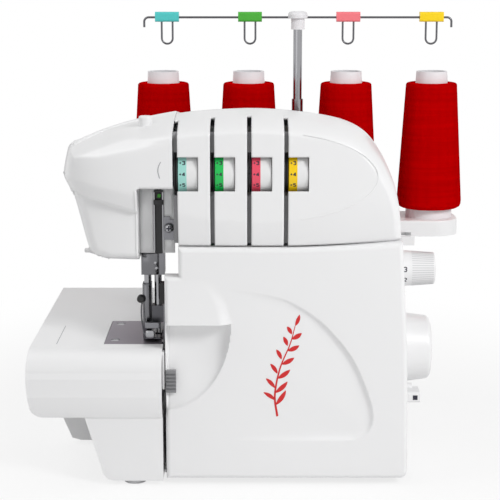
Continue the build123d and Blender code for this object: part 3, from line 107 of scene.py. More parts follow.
# %% Texture helpers
def ranged(tree, value, low, high, floor, kind="LINEAR"):
    """Maps low..high to floor..1."""
    node = tree.nodes.new("ShaderNodeMapRange")
    node.interpolation_type = kind
    for name, number in (("From Min", low), ("From Max", high), ("To Min", floor), ("Value", value)):
        feed(tree, node.inputs[name], number)
    return node.outputs["Result"]


def noise_on(tree, vector, scale, detail=2.0):
    """A noise from 0 to 1 over a vector."""
    node = tree.nodes.new("ShaderNodeTexNoise")
    for name, value in (("Scale", scale), ("Detail", detail), ("Vector", vector)):
        feed(tree, node.inputs[name], value)
    return node.outputs["Fac"]


def bump(tree, height, strength, distance):
    """Tilts the surface's normal as a relief of height, distance metres high, would."""
    node = tree.nodes.new("ShaderNodeBump")
    for name, value in (("Strength", strength), ("Distance", distance), ("Height", height)):
        feed(tree, node.inputs[name], value)
    feed(tree, tree.nodes["Principled BSDF"].inputs["Normal"], node.outputs["Normal"])


# %% Plain finish
WAVER_SCALE, WAVER_DETAIL = 14.0, 3.0
GRAIN_STRENGTH = 0.4
COAT_ROUGHNESS = 0.12


def finish(name, colour, rough, metal=0.0, waver=0.02, grain=0.0, grain_scale=900.0, coat=0.0):
    """Principled surface: colour times (1 +- waver) by a slow noise, and a fine bump of height grain (m)."""
    m = bpy.data.materials.new(name)
    m.use_nodes = True
    t = m.node_tree
    p = t.nodes["Principled BSDF"].inputs
    settings = {"Roughness": rough, "Metallic": metal, "Coat Weight": coat, "Coat Roughness": COAT_ROUGHNESS}
    for socket, value in settings.items():
        p[socket].default_value = value
    p["Base Color"].default_value = (*colour, 1)
    at = t.nodes.new("ShaderNodeTexCoord").outputs["Object"]
    if waver:
        dark, light = [(*[min(1, c * (1 + w)) for c in colour], 1) for w in (-waver, waver)]
        feed(t, p["Base Color"], colour_mix(t, noise_on(t, at, WAVER_SCALE, WAVER_DETAIL), dark, light))
    if grain:
        bump(t, noise_on(t, at, grain_scale), GRAIN_STRENGTH, grain)
    return m


WHITE = finish("shell_white", (0.86, 0.86, 0.865), 0.34, waver=0.006, coat=0.12)
print("the white finish has", len(WHITE.node_tree.nodes), "nodes")

# %% Plastic and rubber
PAN = finish("pan_grey", (0.50, 0.50, 0.52), 0.6)
GREY = finish("grip_grey", (0.24, 0.24, 0.25), 0.5)
CORE = finish("core_white", (0.82, 0.81, 0.83), 0.5)
# painted shade: the grey seen in the depth of the thread slots
SLOT_SHADE = finish("slot_shade_grey", (0.30, 0.30, 0.31), 0.6)
# painted shade: a dark grey for the pulleys, which stand in the shade inside the machine
PULLEY_SHADE = finish("inner_shade_grey", (0.16, 0.16, 0.165), 0.6)
MOTOR = finish("motor_grey", (0.10, 0.10, 0.11), 0.45)
DARK = finish("dark_plastic", (0.012, 0.012, 0.013), 0.45)
RUBBER = finish("rubber", (0.03, 0.03, 0.03), 0.8, grain=0.0001)
FEET = finish("pale_rubber", (0.66, 0.66, 0.67), 0.8, grain=0.0001)
print("plastic and rubber finishes:", len(bpy.data.materials) - packed)

# %% Metals
FINE = {"grain": 0.00003, "grain_scale": 300.0}
STEEL = finish("steel", (0.22, 0.22, 0.235), 0.33, metal=1.0, **FINE)
DIM = finish("dim_steel", (0.10, 0.10, 0.11), 0.33, metal=0.9, **FINE)
BRUSHED = finish("brushed_steel", (0.17, 0.17, 0.18), 0.24, metal=1.0, grain=0.00002, grain_scale=300.0)
PLATE = finish("plate_steel", (0.26, 0.235, 0.27), 0.45, metal=0.8, grain=0.00003, grain_scale=400.0)
BRIGHT = finish("bright_metal", (0.34, 0.34, 0.355), 0.16, metal=1.0)
WIRE = finish("wire_metal", (0.12, 0.12, 0.13), 0.3, metal=0.9)
CAST = finish("cast_frame", (0.55, 0.55, 0.57), 0.5, metal=0.3, grain=0.0002, grain_scale=200.0)
print("with metals:", len(bpy.data.materials) - packed)

# %% Print and coloured clips
RED = finish("red_print", (0.62, 0.008, 0.01), 0.4)
# black for the printed figures and dot, and for painted shade in screw recesses
INK_AND_SHADE = finish("ink_and_shade", (0.015, 0.015, 0.03), 0.5)
FAINT = finish("faint_mark", (0.42, 0.42, 0.44), 0.5)
# painted shade: grey stripes for the shaded flanks of the stitch dial's ribs
RIB_SHADE = finish("rib_shade_grey", (0.62, 0.62, 0.63), 0.5)
CLIPS = [
    finish("clip_teal", (0.08, 0.60, 0.58), 0.35),
    finish("clip_green", (0.06, 0.42, 0.03), 0.35),
    finish("clip_pink", (0.92, 0.20, 0.23), 0.35),
    finish("clip_yellow", (0.95, 0.66, 0.0), 0.35),
]
print("with print and clips:", len(bpy.data.materials) - packed)

# %% [markdown]
# ## Wound thread
#
# The cones are cross-wound: each layer climbs one way and the next climbs back. Modelling every
# turn would take millions of faces, so two crossing helices and a finer one are drawn on the
# winding's UV map. They darken the dye in the grooves between turns as painted shade and raise a
# bump, and a stretched noise gives the layers.

# %% Thread finish
HELICES = ((9.0, 210.0), (-9.0, 210.0), (3.0, 640.0))    # turns round and rows up, per winding
LAYER_STRETCH = (2.0, 30.0, 1.0)


def thread_finish(name, colour):
    """Crossing helices, sin(2 pi (a u + b v)) on the winding's UV map, as painted shade in their grooves and
    as bump.
    """
    m = finish(name, colour, 0.85, waver=0.08)
    t = m.node_tree
    p = t.nodes["Principled BSDF"].inputs
    p["Specular IOR Level"].default_value = 0.0
    uv = t.nodes["Texture Coordinate"].outputs["UV"]
    split = t.nodes.new("ShaderNodeSeparateXYZ")
    feed(t, split.inputs[0], uv)
    waves = []
    for a, b in HELICES:
        turns = math_node(t, "MULTIPLY", split.outputs["X"], a)
        phase = math_node(t, "ADD", turns, math_node(t, "MULTIPLY", split.outputs["Y"], b))
        waves.append(math_node(t, "SINE", math_node(t, "MULTIPLY", phase, 2 * math.pi)))
    height = math_node(t, "ADD", math_node(t, "MAXIMUM", waves[0], waves[1]), waves[2])
    bump(t, height, 0.55, 0.0004)
    stretch = t.nodes.new("ShaderNodeMapping")
    stretch.inputs["Scale"].default_value = LAYER_STRETCH
    feed(t, stretch.inputs["Vector"], uv)
    layers = ranged(t, noise_on(t, stretch.outputs["Vector"], 1.0), 0.3, 0.7, 0.62)
    # painted shade: the dye is darker where the helices are low, in the grooves between turns
    shade = math_node(t, "MULTIPLY", ranged(t, height, -2.0, 2.0, 0.35), layers)
    dyed = t.nodes["Mix"].outputs["Result"]
    feed(t, p["Base Color"], colour_mix(t, 0.5, dyed, shade, "MULTIPLY"))
    return m


THREAD = thread_finish("red_thread", (0.78, 0.0, 0.001))
print("thread finish has", len(THREAD.node_tree.nodes), "nodes")

# %% [markdown]
# ## Painting the CAD pieces
#
# Plates, bars, pulleys and clips are right as the CAD model has them, so they keep their solids
# and only get a finish. Each tension dial is white with a coloured band at its left end. Splitting
# the mesh would do, but comparing X with the band's edge in the finish leaves the solid alone.

# %% Dial bands
BANDS = [(0.35, 0.70, 0.63), (0.004, 0.50, 0.08), (0.83, 0.07, 0.13), (0.94, 0.62, 0.0)]
BAND_WIDE = 0.0068    # metres, from the dial's left end


def banded(name, colour, edge):
    """A white dial with a coloured band on its left: colour where X < edge (metres)."""
    m = finish(name, (0.83, 0.83, 0.83), 0.35)
    t = m.node_tree
    split = t.nodes.new("ShaderNodeSeparateXYZ")
    feed(t, split.inputs[0], t.nodes["Texture Coordinate"].outputs["Object"])
    inside = math_node(t, "LESS_THAN", split.outputs["X"], edge)
    white = t.nodes["Mix"].outputs["Result"]
    feed(t, t.nodes["Principled BSDF"].inputs["Base Color"], colour_mix(t, inside, white, (*colour, 1)))
    return m


DIALS = []
for i in range(4):
    left_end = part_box(f"tension_dial_{i + 1}")[0][0]
    DIALS.append(banded(f"dial_{i + 1}", BANDS[i], left_end + BAND_WIDE))
print("dial finishes:", [m.name for m in DIALS])

# %% Paint
PAINT = {
    WHITE: "arm_base body_shell front_door bed_cover top_cover face_cover thread_stand handwheel "
    "stitch_dial feed_lever presser_lever pressure_screw",
    PAN: "base_pan",
    GREY: "door_grip",
    RUBBER: "timing_belt",
    FEET: "rubber_feet",
    STEEL: "lower_knife upper_knife needles bar_bushing guide_bracket feed_dog lower_looper "
    "upper_looper needle_arm main_shaft shaft_bearings tension_shaft door_hinge_rod",
    DIM: "needle_clamp presser_foot",
    WIRE: "guide_wire",
    PLATE: "needle_plate",
    BRIGHT: "needle_bar presser_bar guide_pole guide_tube plate_screws",
    CAST: "main_frame bed_frame tension_frame",
    DARK: "tension_discs knife_holder power_unit power_switch",
    PULLEY_SHADE: "drive_pulley motor_pulley",
    MOTOR: "motor",
    CORE: "cone_cores spool_pins guide_cap",
    THREAD: "thread_cones",
}


def paint(node, material):
    """Gives a CAD node one finish, and leaves its shape alone."""
    mesh = nodes[node].data
    mesh.materials.clear()
    mesh.materials.append(material)


for material, names in PAINT.items():
    for name in names.split():
        paint(name, material)
for i in range(4):
    paint(f"guide_clip_{i + 1}", CLIPS[i])
    paint(f"tension_dial_{i + 1}", DIALS[i])
painted = " ".join(PAINT.values()).split()
print("painted nodes:", len(painted) + len(CLIPS) + len(DIALS), "of", len(nodes))

# %% [markdown]
# ## From grids to pieces
#
# Every new piece is one or more grids of points, worked out as whole arrays. `surface` writes the
# grids into one mesh, welds their shared edges, shades it smooth up to an angle and lets it ride
# on a body. Sculpting could give the same forms, but formulas keep them editable and repeatable.


# %% Grid mesh
def grid_mesh(name, grids, uv=None):
    """One mesh from grids of points (n, m, 3) in mm, each with a mask of the quads to keep (or None)."""
    points, quads, start = [], [], 0
    for grid, keep in grids:
        n, m = grid.shape[:2]
        at = np.arange(n * m).reshape(n, m) + start
        q = np.stack([at[:-1, :-1], at[1:, :-1], at[1:, 1:], at[:-1, 1:]], -1)
        quads.append(q.reshape(-1, 4) if keep is None else q[keep])
        points.append(grid.reshape(-1, 3))
        start += n * m
    points, quads = np.concatenate(points) / 1000.0, np.concatenate(quads)
    mesh = bpy.data.meshes.new(name)
    mesh.vertices.add(len(points))
    mesh.vertices.foreach_set("co", points.ravel())
    mesh.loops.add(quads.size)
    mesh.loops.foreach_set("vertex_index", quads.ravel().astype(np.int32))
    mesh.polygons.add(len(quads))
    mesh.polygons.foreach_set("loop_start", np.arange(0, quads.size, 4, dtype=np.int32))
    mesh.update(calc_edges=True)
    if uv is not None:
        layer = mesh.uv_layers.new(name="UVMap")
        layer.data.foreach_set("uv", uv.reshape(-1, 2)[quads.ravel()].ravel().astype(np.float32))
    return mesh


# %% Pieces
WELD, SLIVER = 2e-6, 1e-6    # metres


def surface(name, grids, material, body, sharp=40.0, thick=0.0, uv=None, closed=False):
    """A piece from grids: welded, smooth where faces meet at under sharp degrees, walled if thick (mm)."""
    mesh = grid_mesh(name, grids, uv)
    work = bmesh.new()
    work.from_mesh(mesh)
    bmesh.ops.remove_doubles(work, verts=work.verts, dist=WELD)
    bmesh.ops.dissolve_degenerate(work, edges=work.edges, dist=SLIVER)
    if closed:
        bmesh.ops.recalc_face_normals(work, faces=work.faces)
    work.to_mesh(mesh)
    work.free()
    mesh.polygons.foreach_set("use_smooth", np.ones(len(mesh.polygons), dtype=bool))
    mesh.set_sharp_from_angle(angle=math.radians(sharp))
    mesh.materials.append(material)
    piece = bpy.data.objects.new(name, mesh)
    bpy.context.collection.objects.link(piece)
    if thick:
        shell = piece.modifiers.new("wall", "SOLIDIFY")
        shell.thickness = thick / 1000.0
        shell.offset = -1.0
    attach(piece, body)
    print(f"{name}: {len(mesh.polygons)} faces, rides on {body}")
    return piece


# %% [markdown]
# ## Lines and edges
#
# The covers' edges are rounded by distance: `away` measures how far a point is from a drawn line,
# and `lip` or `round_in` lets the surface fall back near it. A bevel on a mesh this soft would
# break where edges meet at odd angles, while distances add up without trouble.


# %% Soft steps
def step(a, b, x):
    """Smooth step s^2 (3 - 2 s) from 0 at a to 1 at b."""
    s = np.clip((x - a) / (b - a), 0, 1)
    return s * s * (3 - 2 * s)


def soft_max(a, b, k):
    """max(a, b) rounded over about k."""
    return 0.5 * (a + b + np.sqrt((a - b) ** 2 + k * k))


def soft_min(a, b, k):
    """min(a, b) rounded over about k."""
    return -soft_max(-a, -b, k)


print("a quarter of the way, the step is at", step(0, 1, 0.25))

# %% Lines and their distance
def smooth_line(points, n):
    """n points on a Catmull-Rom spline through the given points."""
    p = np.array(points, float)
    p = np.vstack([2 * p[0] - p[1], p, 2 * p[-1] - p[-2]])
    t = np.linspace(0, len(points) - 1 - 1e-9, n)
    i = t.astype(int)
    f = (t - i)[:, None]
    a, b, c, d = p[i], p[i + 1], p[i + 2], p[i + 3]
    return 0.5 * (2 * b + (c - a) * f + (2 * a - 5 * b + 4 * c - d) * f**2 + (3 * b - a - 3 * c + d) * f**3)


def away(x, z, line):
    """Distance from points (x, z) to a polyline: the least over its segments."""
    best = np.full(np.shape(x), 1e9)
    for (x0, z0), (x1, z1) in zip(line[:-1], line[1:]):
        dx, dz = x1 - x0, z1 - z0
        s = np.clip(((x - x0) * dx + (z - z0) * dz) / (dx * dx + dz * dz + 1e-12), 0, 1)
        best = np.minimum(best, np.hypot(x - x0 - s * dx, z - z0 - s * dz))
    return best


def round_in(d, r):
    """How far a surface falls back at distance d from an edge rounded with radius r."""
    return r - np.sqrt(np.maximum(r * r - np.maximum(r - d, 0) ** 2, 0))


def lip(d, wide, deep):
    """Fall of a quarter-elliptical edge: deep (1 - sqrt(1 - (1 - d / wide)^2)) at distance d from it."""
    u = 1 - np.clip(d / wide, 0, 1)
    return deep * (1 - np.sqrt(1 - u * u))


print("an edge of radius 4 falls back by", round_in(np.array([0.0, 1.0, 4.0]), 4.0).round(2), "at 0, 1 and 4")

# %% [markdown]
# ## Small shapes
#
# Knobs, screw heads, wires and printed marks repeat all over the machine. Blender's primitives
# would leave hard edges, so each small shape is a short formula: a superellipsoid, a turned
# profile, a tube along a curve, a half-round face and a flat patch.


# %% Rounded shapes
def places(*axes):
    """Points of a grid from their coordinates, each of any shape that broadcasts to the grid's."""
    return np.stack(np.broadcast_arrays(*axes), -1)


def pebble(at, half, power=0.3, n=20):
    """Superellipsoid at + half (c(a) c(b), c(a) s(b), s(a)), c and s signed powers of cosine and sine."""
    b = np.linspace(-np.pi, np.pi, 2 * n)[:, None]
    a = np.linspace(-np.pi / 2, np.pi / 2, n)
    ca, sa, cb, sb = [np.sign(v) * np.abs(v) ** power for v in (np.cos(a), np.sin(a), np.cos(b), np.sin(b))]
    return places(at[0] + half[0] * ca * cb, at[1] + half[1] * ca * sb, at[2] + half[2] * sa), None


def turned_y(profile, x, z, n=49):
    """A profile of (radius, y) turned about a line along Y."""
    p = np.array(profile, float)
    a = np.linspace(0, 2 * np.pi, n)[:, None]
    return places(x + p[:, 0] * np.cos(a), p[:, 1], z + p[:, 0] * np.sin(a)), None


print("a pebble has a grid of", pebble((0, 0, 0), (1, 1, 1))[0].shape[:2], "points")

# %% Wires and patches
def tube(path, radius, n=13):
    """A round wire: circles of a radius carried along a smooth path."""
    p = smooth_line(path, 12 * len(path))
    d = np.gradient(p, axis=0)
    d /= np.linalg.norm(d, axis=1)[:, None]
    u = np.cross(d, (0.31, 0.9, 0.2))
    u /= np.linalg.norm(u, axis=1)[:, None]
    v = np.cross(d, u)
    a = np.linspace(0, 2 * np.pi, n)[None, :, None]
    return p[:, None] + radius * (np.cos(a) * u[:, None] + np.sin(a) * v[:, None]), None


def half_round(x, y, bulge, z, edge=0.8):
    """A half-round face: y - bulge sin(a) over x from x[0] to x[1], closed above and below."""
    a = np.linspace(0, np.pi, 33)[:, None]
    levels = np.array([z[0], z[0], z[0] + edge, z[1] - edge, z[1], z[1]])
    out = np.array([0, 0.75, 1, 1, 0.75, 0])
    wide = (x[1] - x[0]) / 2
    return places(x[0] + wide * (1 - np.cos(a)), y - bulge * np.sin(a) * out, levels), None


def slab(x, y, z):
    """A flat patch: one of y and z is a single number, the others are ranges."""
    return places(np.array(x)[:, None], y, z), None


print("a straight wire of two points has", tube([(0, 0, 0), (9, 0, 0)], 1.0)[0].shape[0], "rings")

# %% [markdown]
# ## Front door
#
# The door is one moulded panel that drops open over the loopers. On its left is a finger hollow
# with a brow above it, and a shallow basin in the shape of a leaf fills its middle. Booleans would
# leave hard creases where these meet, so the front is one height field: a depth behind the flat
# for every place (x, z), with its edge rounded by distance.

# %% Door sizes
DOOR_FRONT, DOOR_BACK = -123.5, -110.5
DOOR_LEFT, DOOR_LOW, DOOR_HIGH = -78.0, 5.0, 196.5
NECK_LEFT, NECK_LOW = -66.8, 173.4    # above this height the door starts further right
DOOR_EDGE, DOOR_CORNER = 4.0, 6.0    # radii of the front's edge and of the lower right corner
LEAF = smooth_line(
    [(-40, 166), (10, 157), (30, 148.5), (50, 133.5), (70, 109.5), (82, 85), (89, 62), (87, 47),
     (78, 40), (64, 38), (10, 38), (-45, 37.5)], 160
)


def side_x(z):
    """The machine's right side, a parabola that leans in: 118 - 7.3 ((z - 4) / 193)^2."""
    return 118.0 - 7.3 * ((z - 4.0) / 193.0) ** 2


def door_right(z):
    """The door's right edge: the side, rounded in near the bottom."""
    return side_x(z) - round_in(z - DOOR_LOW, DOOR_CORNER)


def seam_rise(x):
    """The seam between door and top cover rises to the right: 4.4 ((x - 25) / 85)^1.5."""
    return 4.4 * np.clip((x - 25.0) / 85.0, 0, 1) ** 1.5


print("door height:", DOOR_HIGH - DOOR_LOW, "mm; the seam rises", seam_rise(110.0), "mm")

# %% Door relief
BROW = 135.0    # height of the edge between the hollow and the brow
SCOOP_MIDDLE, SCOOP_WIDE, SCOOP_TALL, SCOOP_DEEP = -79.0, 53.5, 71.0, 11.2
BROW_PROUD, BROW_TALL, BROW_SOFT = 4.6, 36.0, 11.0
RIDGE_Z, RIDGE_X = [135, 150.6, 171, 180], [-23.5, -27.5, -39, -46]    # the brow's right end
LEAF_DEEP, LEAF_RIM, LEAF_FADE = 3.6, 2.2, 80.0


def leaf_inside(x, z):
    """Even-odd test against the leaf's outline, closed on its left."""
    line = np.vstack([LEAF, LEAF[:1]])
    hit = np.zeros(np.shape(x), bool)
    for (x0, z0), (x1, z1) in zip(line[:-1], line[1:]):
        cross = (z0 > z) != (z1 > z)
        hit ^= cross & (x < x0 + (z - z0) * (x1 - x0) / (z1 - z0 + 1e-12))
    return hit


def door_relief(x, z):
    """Depth behind the flat, in mm: hollow (a quarter ellipsoid) - brow (a wedge) + leaf (a basin)."""
    e2 = ((x - SCOOP_MIDDLE) / SCOOP_WIDE) ** 2 + ((BROW - z) / SCOOP_TALL) ** 2
    fade = 0.45 + 0.55 * step(66, 125, z)
    scoop = np.where(z < BROW, SCOOP_DEEP * fade * np.sqrt(np.clip(1 - e2**2.2, 0, 1)), 0.0)
    ridge = np.interp(z, RIDGE_Z, RIDGE_X)
    rise = BROW_PROUD * np.clip(1 - (z - BROW) / BROW_TALL, 0, 1) ** 1.3
    brow = np.where(z >= BROW, rise * step(0, BROW_SOFT, ridge - x), 0.0)
    inside = np.where(leaf_inside(x, z), away(x, z, LEAF), 0.0)
    leaf = LEAF_DEEP * step(-40, 75, x) * (1 - np.exp(-inside / LEAF_RIM)) * np.exp(-inside / LEAF_FADE)
    return scoop - brow + leaf


print("hollow under the brow:", door_relief(np.array([-60.0]), np.array([130.0])).round(1), "mm")

# %% Door front
HAIR = 0.02    # rows this close to a step keep it sharp


def crowded(n, wide):
    """n distances from 0 to wide, close together near 0: wide t^2."""
    return wide * np.linspace(0, 1, n) ** 2


z_rows = np.unique(np.concatenate([
    np.linspace(DOOR_LOW, BROW - HAIR, 150), [BROW], np.linspace(BROW + HAIR, NECK_LOW - HAIR, 48),
    np.linspace(NECK_LOW + HAIR, DOOR_HIGH, 30), DOOR_LOW + crowded(16, 6), DOOR_HIGH - crowded(14, 4),
    NECK_LOW - crowded(14, 4),
]))
ends = crowded(14, 0.022)
share = np.unique(np.concatenate([np.linspace(0, 1, 220), ends, 1 - ends]))
left, right = np.where(z_rows > NECK_LOW, NECK_LEFT, DOOR_LEFT), door_right(z_rows)
X = left[None] + share[:, None] * (right - left)[None]
Z = np.broadcast_to(z_rows[None], X.shape)
corners = [(DOOR_LEFT, DOOR_LOW), (DOOR_LEFT, NECK_LOW), (NECK_LEFT, NECK_LOW), (NECK_LEFT, DOOR_HIGH)]
flank = [(door_right(z), z) for z in DOOR_LOW + (DOOR_HIGH - DOOR_LOW) * np.linspace(1, 0, 80) ** 2]
edge = away(X, Z, corners + flank + corners[:1])
Y = DOOR_FRONT + door_relief(X, Z) * step(0, 2.5, edge) + round_in(edge, DOOR_EDGE)
door_front = places(X, Y, Z + seam_rise(X) * step(150, DOOR_HIGH, Z))
print("door front grid:", X.shape, "deepest place", round(float(Y.max() - DOOR_FRONT), 1), "mm")

# %% Door rim
LOWER_RIM = DOOR_FRONT + 4.2    # the lower edge stays short and clears the base pan as the door opens
ring = np.concatenate([
    door_front[:, 0], door_front[-1, 1:], door_front[::-1, -1][1:], door_front[0, ::-1][1:],
])
depth = np.linspace(0, 1, 5)
reach = np.full((len(ring), 1), DOOR_BACK)
reach[1 : len(door_front) - 1] = LOWER_RIM
rim_y = ring[:, 1:2] * (1 - depth) + reach * depth
rim = places(ring[:, :1], rim_y, ring[:, 2:])
door = surface("door_skin", [(door_front, None), (rim, None)], WHITE, "door")
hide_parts("front_door")

# %% [markdown]
# ## Top cover
#
# The upper casing swells like a barrel and is cut flat by an elliptical panel, where the dials look
# out. Four slots lead the threads down to the tension discs. A subdivided cage would need many loops
# to hold those slots, so columns of points run from the seam up to the crown line and over a rounded
# shoulder to the roof, and the slots and dial windows are simply quads that are left out.

# %% Top cover sizes
FACET, COVER_BACK = -124.0, 62.0
PANEL_X, PANEL_Z = -5.0, 253.0    # middle of the elliptical panel
SEAM, LIFT_END = 197.6, 241.0
CROWN = smooth_line(
    [(110.65, 197.6), (107.9, 232), (102.7, 252), (92.8, 271.5), (80.0, 284.5), (60.9, 292.8), (30, 298),
     (-5, 300.5), (-40, 299.3), (-70, 296.2), (-106, 289), (-130.5, 281.2), (-150, 273.2)], 420
)
ROOF_LINE, ROOF_FALL = -58.0, 0.12
DIAL_LOW, DIAL_HIGH, DIAL_WIDE = 241.7, 268.7, 16.0
SLOTS = [-68.4 + 28.9 * i for i in range(4)]
HALF = 1.7    # half the width of a slot
SLOT_BACK = -95.0
EDGE = 14.0    # height of the rounded shoulder
FI = np.linspace(0, np.pi / 2, 28)
LAST = 40.0    # the straight columns end here and the rounded right corner begins
print("slots at X:", [round(x, 1) for x in SLOTS])

# %% Top cover front
def crown_z(x):
    """Height of the crown line at x."""
    return np.interp(x, CROWN[::-1, 0], CROWN[::-1, 1])


def cover_front(x, z):
    """Barrel of two large radii, flattened where it would stand in front of the panel's plane."""
    tall, wide, proud = 164.0, 1130.0, 4.0
    dz, dx = z - PANEL_Z, x - PANEL_X
    barrel = FACET - proud + tall - np.sqrt(tall**2 - dz**2) + wide - np.sqrt(wide**2 - dx**2)
    return soft_max(barrel, FACET, 0.25)


def lifted(grid):
    """Lower edge moved up to the rising seam, fading out upwards and towards the back."""
    x, y, z = grid[..., 0], grid[..., 1], grid[..., 2]
    part = (1 - step(SEAM, LIFT_END, z)) * np.clip(1 - (y + 118.0) / 40.0, 0, 1)
    return places(x, y, z + seam_rise(x) * part)


def shoulder(x, top, inward, wide, end):
    """Rounded upper edge: from the crown inward by wide (1 - sin f), back to end by (1 - cos f)."""
    px = x[:, None] + inward[:, :1] * wide[:, None] * (1 - np.sin(FI))
    pz = top[:, None] + inward[:, 1:] * wide[:, None] * (1 - np.sin(FI))
    start = cover_front(px, pz)
    return places(px, start + (end[:, None] - start) * (1 - np.cos(FI)), pz)


def strip(xs):
    """Columns at xs from the seam to the crown, over the shoulder to the roof line."""
    top = crown_z(xs)
    levels = np.concatenate([np.linspace(SEAM, DIAL_LOW, 36)[:-1], np.linspace(DIAL_LOW, DIAL_HIGH, 24)[:-1]])
    high = DIAL_HIGH + (top - EDGE - DIAL_HIGH)[:, None] * np.linspace(0, 1, 12)
    z = np.concatenate([np.broadcast_to(levels, (len(xs), len(levels))), high], 1)
    x = xs[:, None]
    down = np.tile((0.0, -1.0), (len(xs), 1))
    over = shoulder(xs, top, down, np.full(len(xs), EDGE), np.full(len(xs), ROOF_LINE))
    return np.concatenate([places(x, cover_front(x, z), z), over[:, 1:]], 1)


print("front at the seam and at the panel:", cover_front(PANEL_X, np.array([SEAM, PANEL_Z])).round(1))

# %% Strips and slots
cover = []
for i in range(4):
    x0 = SLOTS[i] + HALF
    x1 = SLOTS[i + 1] - HALF if i < 3 else LAST
    xs = np.unique(np.concatenate([np.linspace(x0, x0 + DIAL_WIDE, 14), np.linspace(x0 + DIAL_WIDE, x1, 8)]))
    grid = strip(xs)
    xm = (xs[:-1] + xs[1:]) / 2
    zm = (grid[:-1, :-1, 2] + grid[1:, 1:, 2]) / 2
    hole = ((xm > x0) & (xm < x0 + DIAL_WIDE))[:, None] & (zm > DIAL_LOW) & (zm < DIAL_HIGH)
    cover.append((lifted(grid), ~hole))
for x in SLOTS:
    gap = strip(np.linspace(x - HALF, x + HALF, 4))
    cover.append((gap, gap[:-1, :-1, 1] > SLOT_BACK))
print("strips and slots:", len(cover))

# %% [markdown]
# ## Top cover: right corner and roof
#
# On the right the crown line turns down to the seam, so straight columns would bunch up there. The
# corner's grid runs from the last column to the crown line instead, and its shoulder turns with the
# line. The roof is a sheet from the crown back, which falls a little and rounds down to the rear.

# %% Right corner
SIDE_EDGE, SIDE_BACK = 7.0, 16.0    # the shoulder's width and depth at the side
TURNED = 64.0    # X from which the shoulder follows the crown line
straight = strip(np.array([LAST]))[0]
inner_left = straight[: len(straight) - len(FI) + 1]
arc = CROWN[CROWN[:, 0] >= LAST]
length = np.concatenate([[0], np.cumsum(np.hypot(*np.diff(arc, axis=0).T))])
at = np.linspace(0, length[-1], len(inner_left))
right = np.stack([np.interp(at, length, arc[:, k]) for k in (0, 1)], -1)
right[-1] = (LAST, crown_z(LAST))
way = np.gradient(right, axis=0)
way /= np.linalg.norm(way, axis=1)[:, None]
bend = step(LAST, TURNED, right[:, 0])[:, None]
inward = (1 - bend) * np.array([0.0, -1.0]) + bend * np.stack([-way[:, 1], way[:, 0]], -1)
inward /= np.linalg.norm(inward, axis=1)[:, None]
share = step(215.0, 285.0, right[:, 1])
end = FACET + SIDE_BACK + (ROOF_LINE - FACET - SIDE_BACK) * share
over = shoulder(right[:, 0], right[:, 1], inward, SIDE_EDGE + (EDGE - SIDE_EDGE) * share, end)
t = np.linspace(0, 1, 36)[None, :, None]
field = inner_left[:, None] * (1 - t) + over[:, :1] * t
field[..., 1] = cover_front(field[..., 0], field[..., 2])
corner = np.concatenate([field, over[:, 1:]], 1)
cover.append((lifted(corner).swapaxes(0, 1), None))
print("right corner grid:", corner.shape[:2])

# %% Roof
def roof_z(y, top):
    """The roof falls evenly behind the roof line and rounds down to the back."""
    back = np.interp(y, [-60, 32, 43, 53, 58, 62], [320, 296.5, 291.0, 284.5, 277.5, 264.5])
    return np.minimum(top - ROOF_FALL * np.maximum(y - ROOF_LINE, 0), back)


arch_x = np.linspace(SLOTS[0] - HALF, LAST, 110)
arch = np.concatenate([
    places(arch_x, crown_z(arch_x), ROOF_LINE),
    np.column_stack([right[::-1], end[::-1]])[1:],
])
s = 1 - (1 - np.linspace(0, 1, 40)) ** 1.6
Y = arch[:, 2:] + (COVER_BACK - arch[:, 2:]) * s
roof = places(arch[:, :1], Y, np.maximum(roof_z(Y, arch[:, 1:2]), SEAM))
cover.append((lifted(roof), None))
print("roof grid:", roof.shape[:2], "highest point", round(float(roof[..., 2].max()), 1), "mm")

# %% Rear and left flank
FLANK_X, FLANK_FRONT = -70.1, 36.0    # the small wall beside the head
s = np.linspace(0, 1, 12)
last = roof[:, -1:]
rear_z = last[..., 2] * (1 - s) + SEAM * s
cover.append((np.concatenate([last[..., :2].repeat(len(s), 1), rear_z[..., None]], -1), None))
flank_y = np.linspace(FLANK_FRONT, COVER_BACK, 8)
flank_z = SEAM + (roof_z(flank_y, crown_z(FLANK_X)) - SEAM)[:, None] * np.linspace(0, 1, 10)
cover.append((places(FLANK_X, flank_y[:, None], flank_z)[::-1], None))
top_skin = surface("top_skin", cover, WHITE, "machine", thick=2.4)
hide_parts("top_cover")

# %% Slot shade sheets
SLOT_SHADE_IN = 5.0    # a grey sheet of painted shade closes each slot this far behind the front, above and below its dial
shade_sheets = []
for x in SLOTS:
    for low, high in ((SEAM + 1, 238.0), (272.0, 288.0)):
        lx, lz = np.meshgrid(np.linspace(x - HALF, x + HALF, 3), np.linspace(low, high, 12), indexing="ij")
        shade_sheets.append((places(lx, cover_front(lx, lz) + SLOT_SHADE_IN, lz), None))
surface("slot_shade_sheets", shade_sheets, SLOT_SHADE, "machine")

# %% [markdown]
# ## Head cover
#
# The head hangs over the needle bar. Its front is a band between two creases that run down to the
# right; below the band the face steps back, above it slopes to the roof, and an open recess on the
# right shows the bar. Flat faces with bevels would look cut from sheet, so the creases are planes
# blended by soft maxima, on columns between the head's lower and upper outlines.

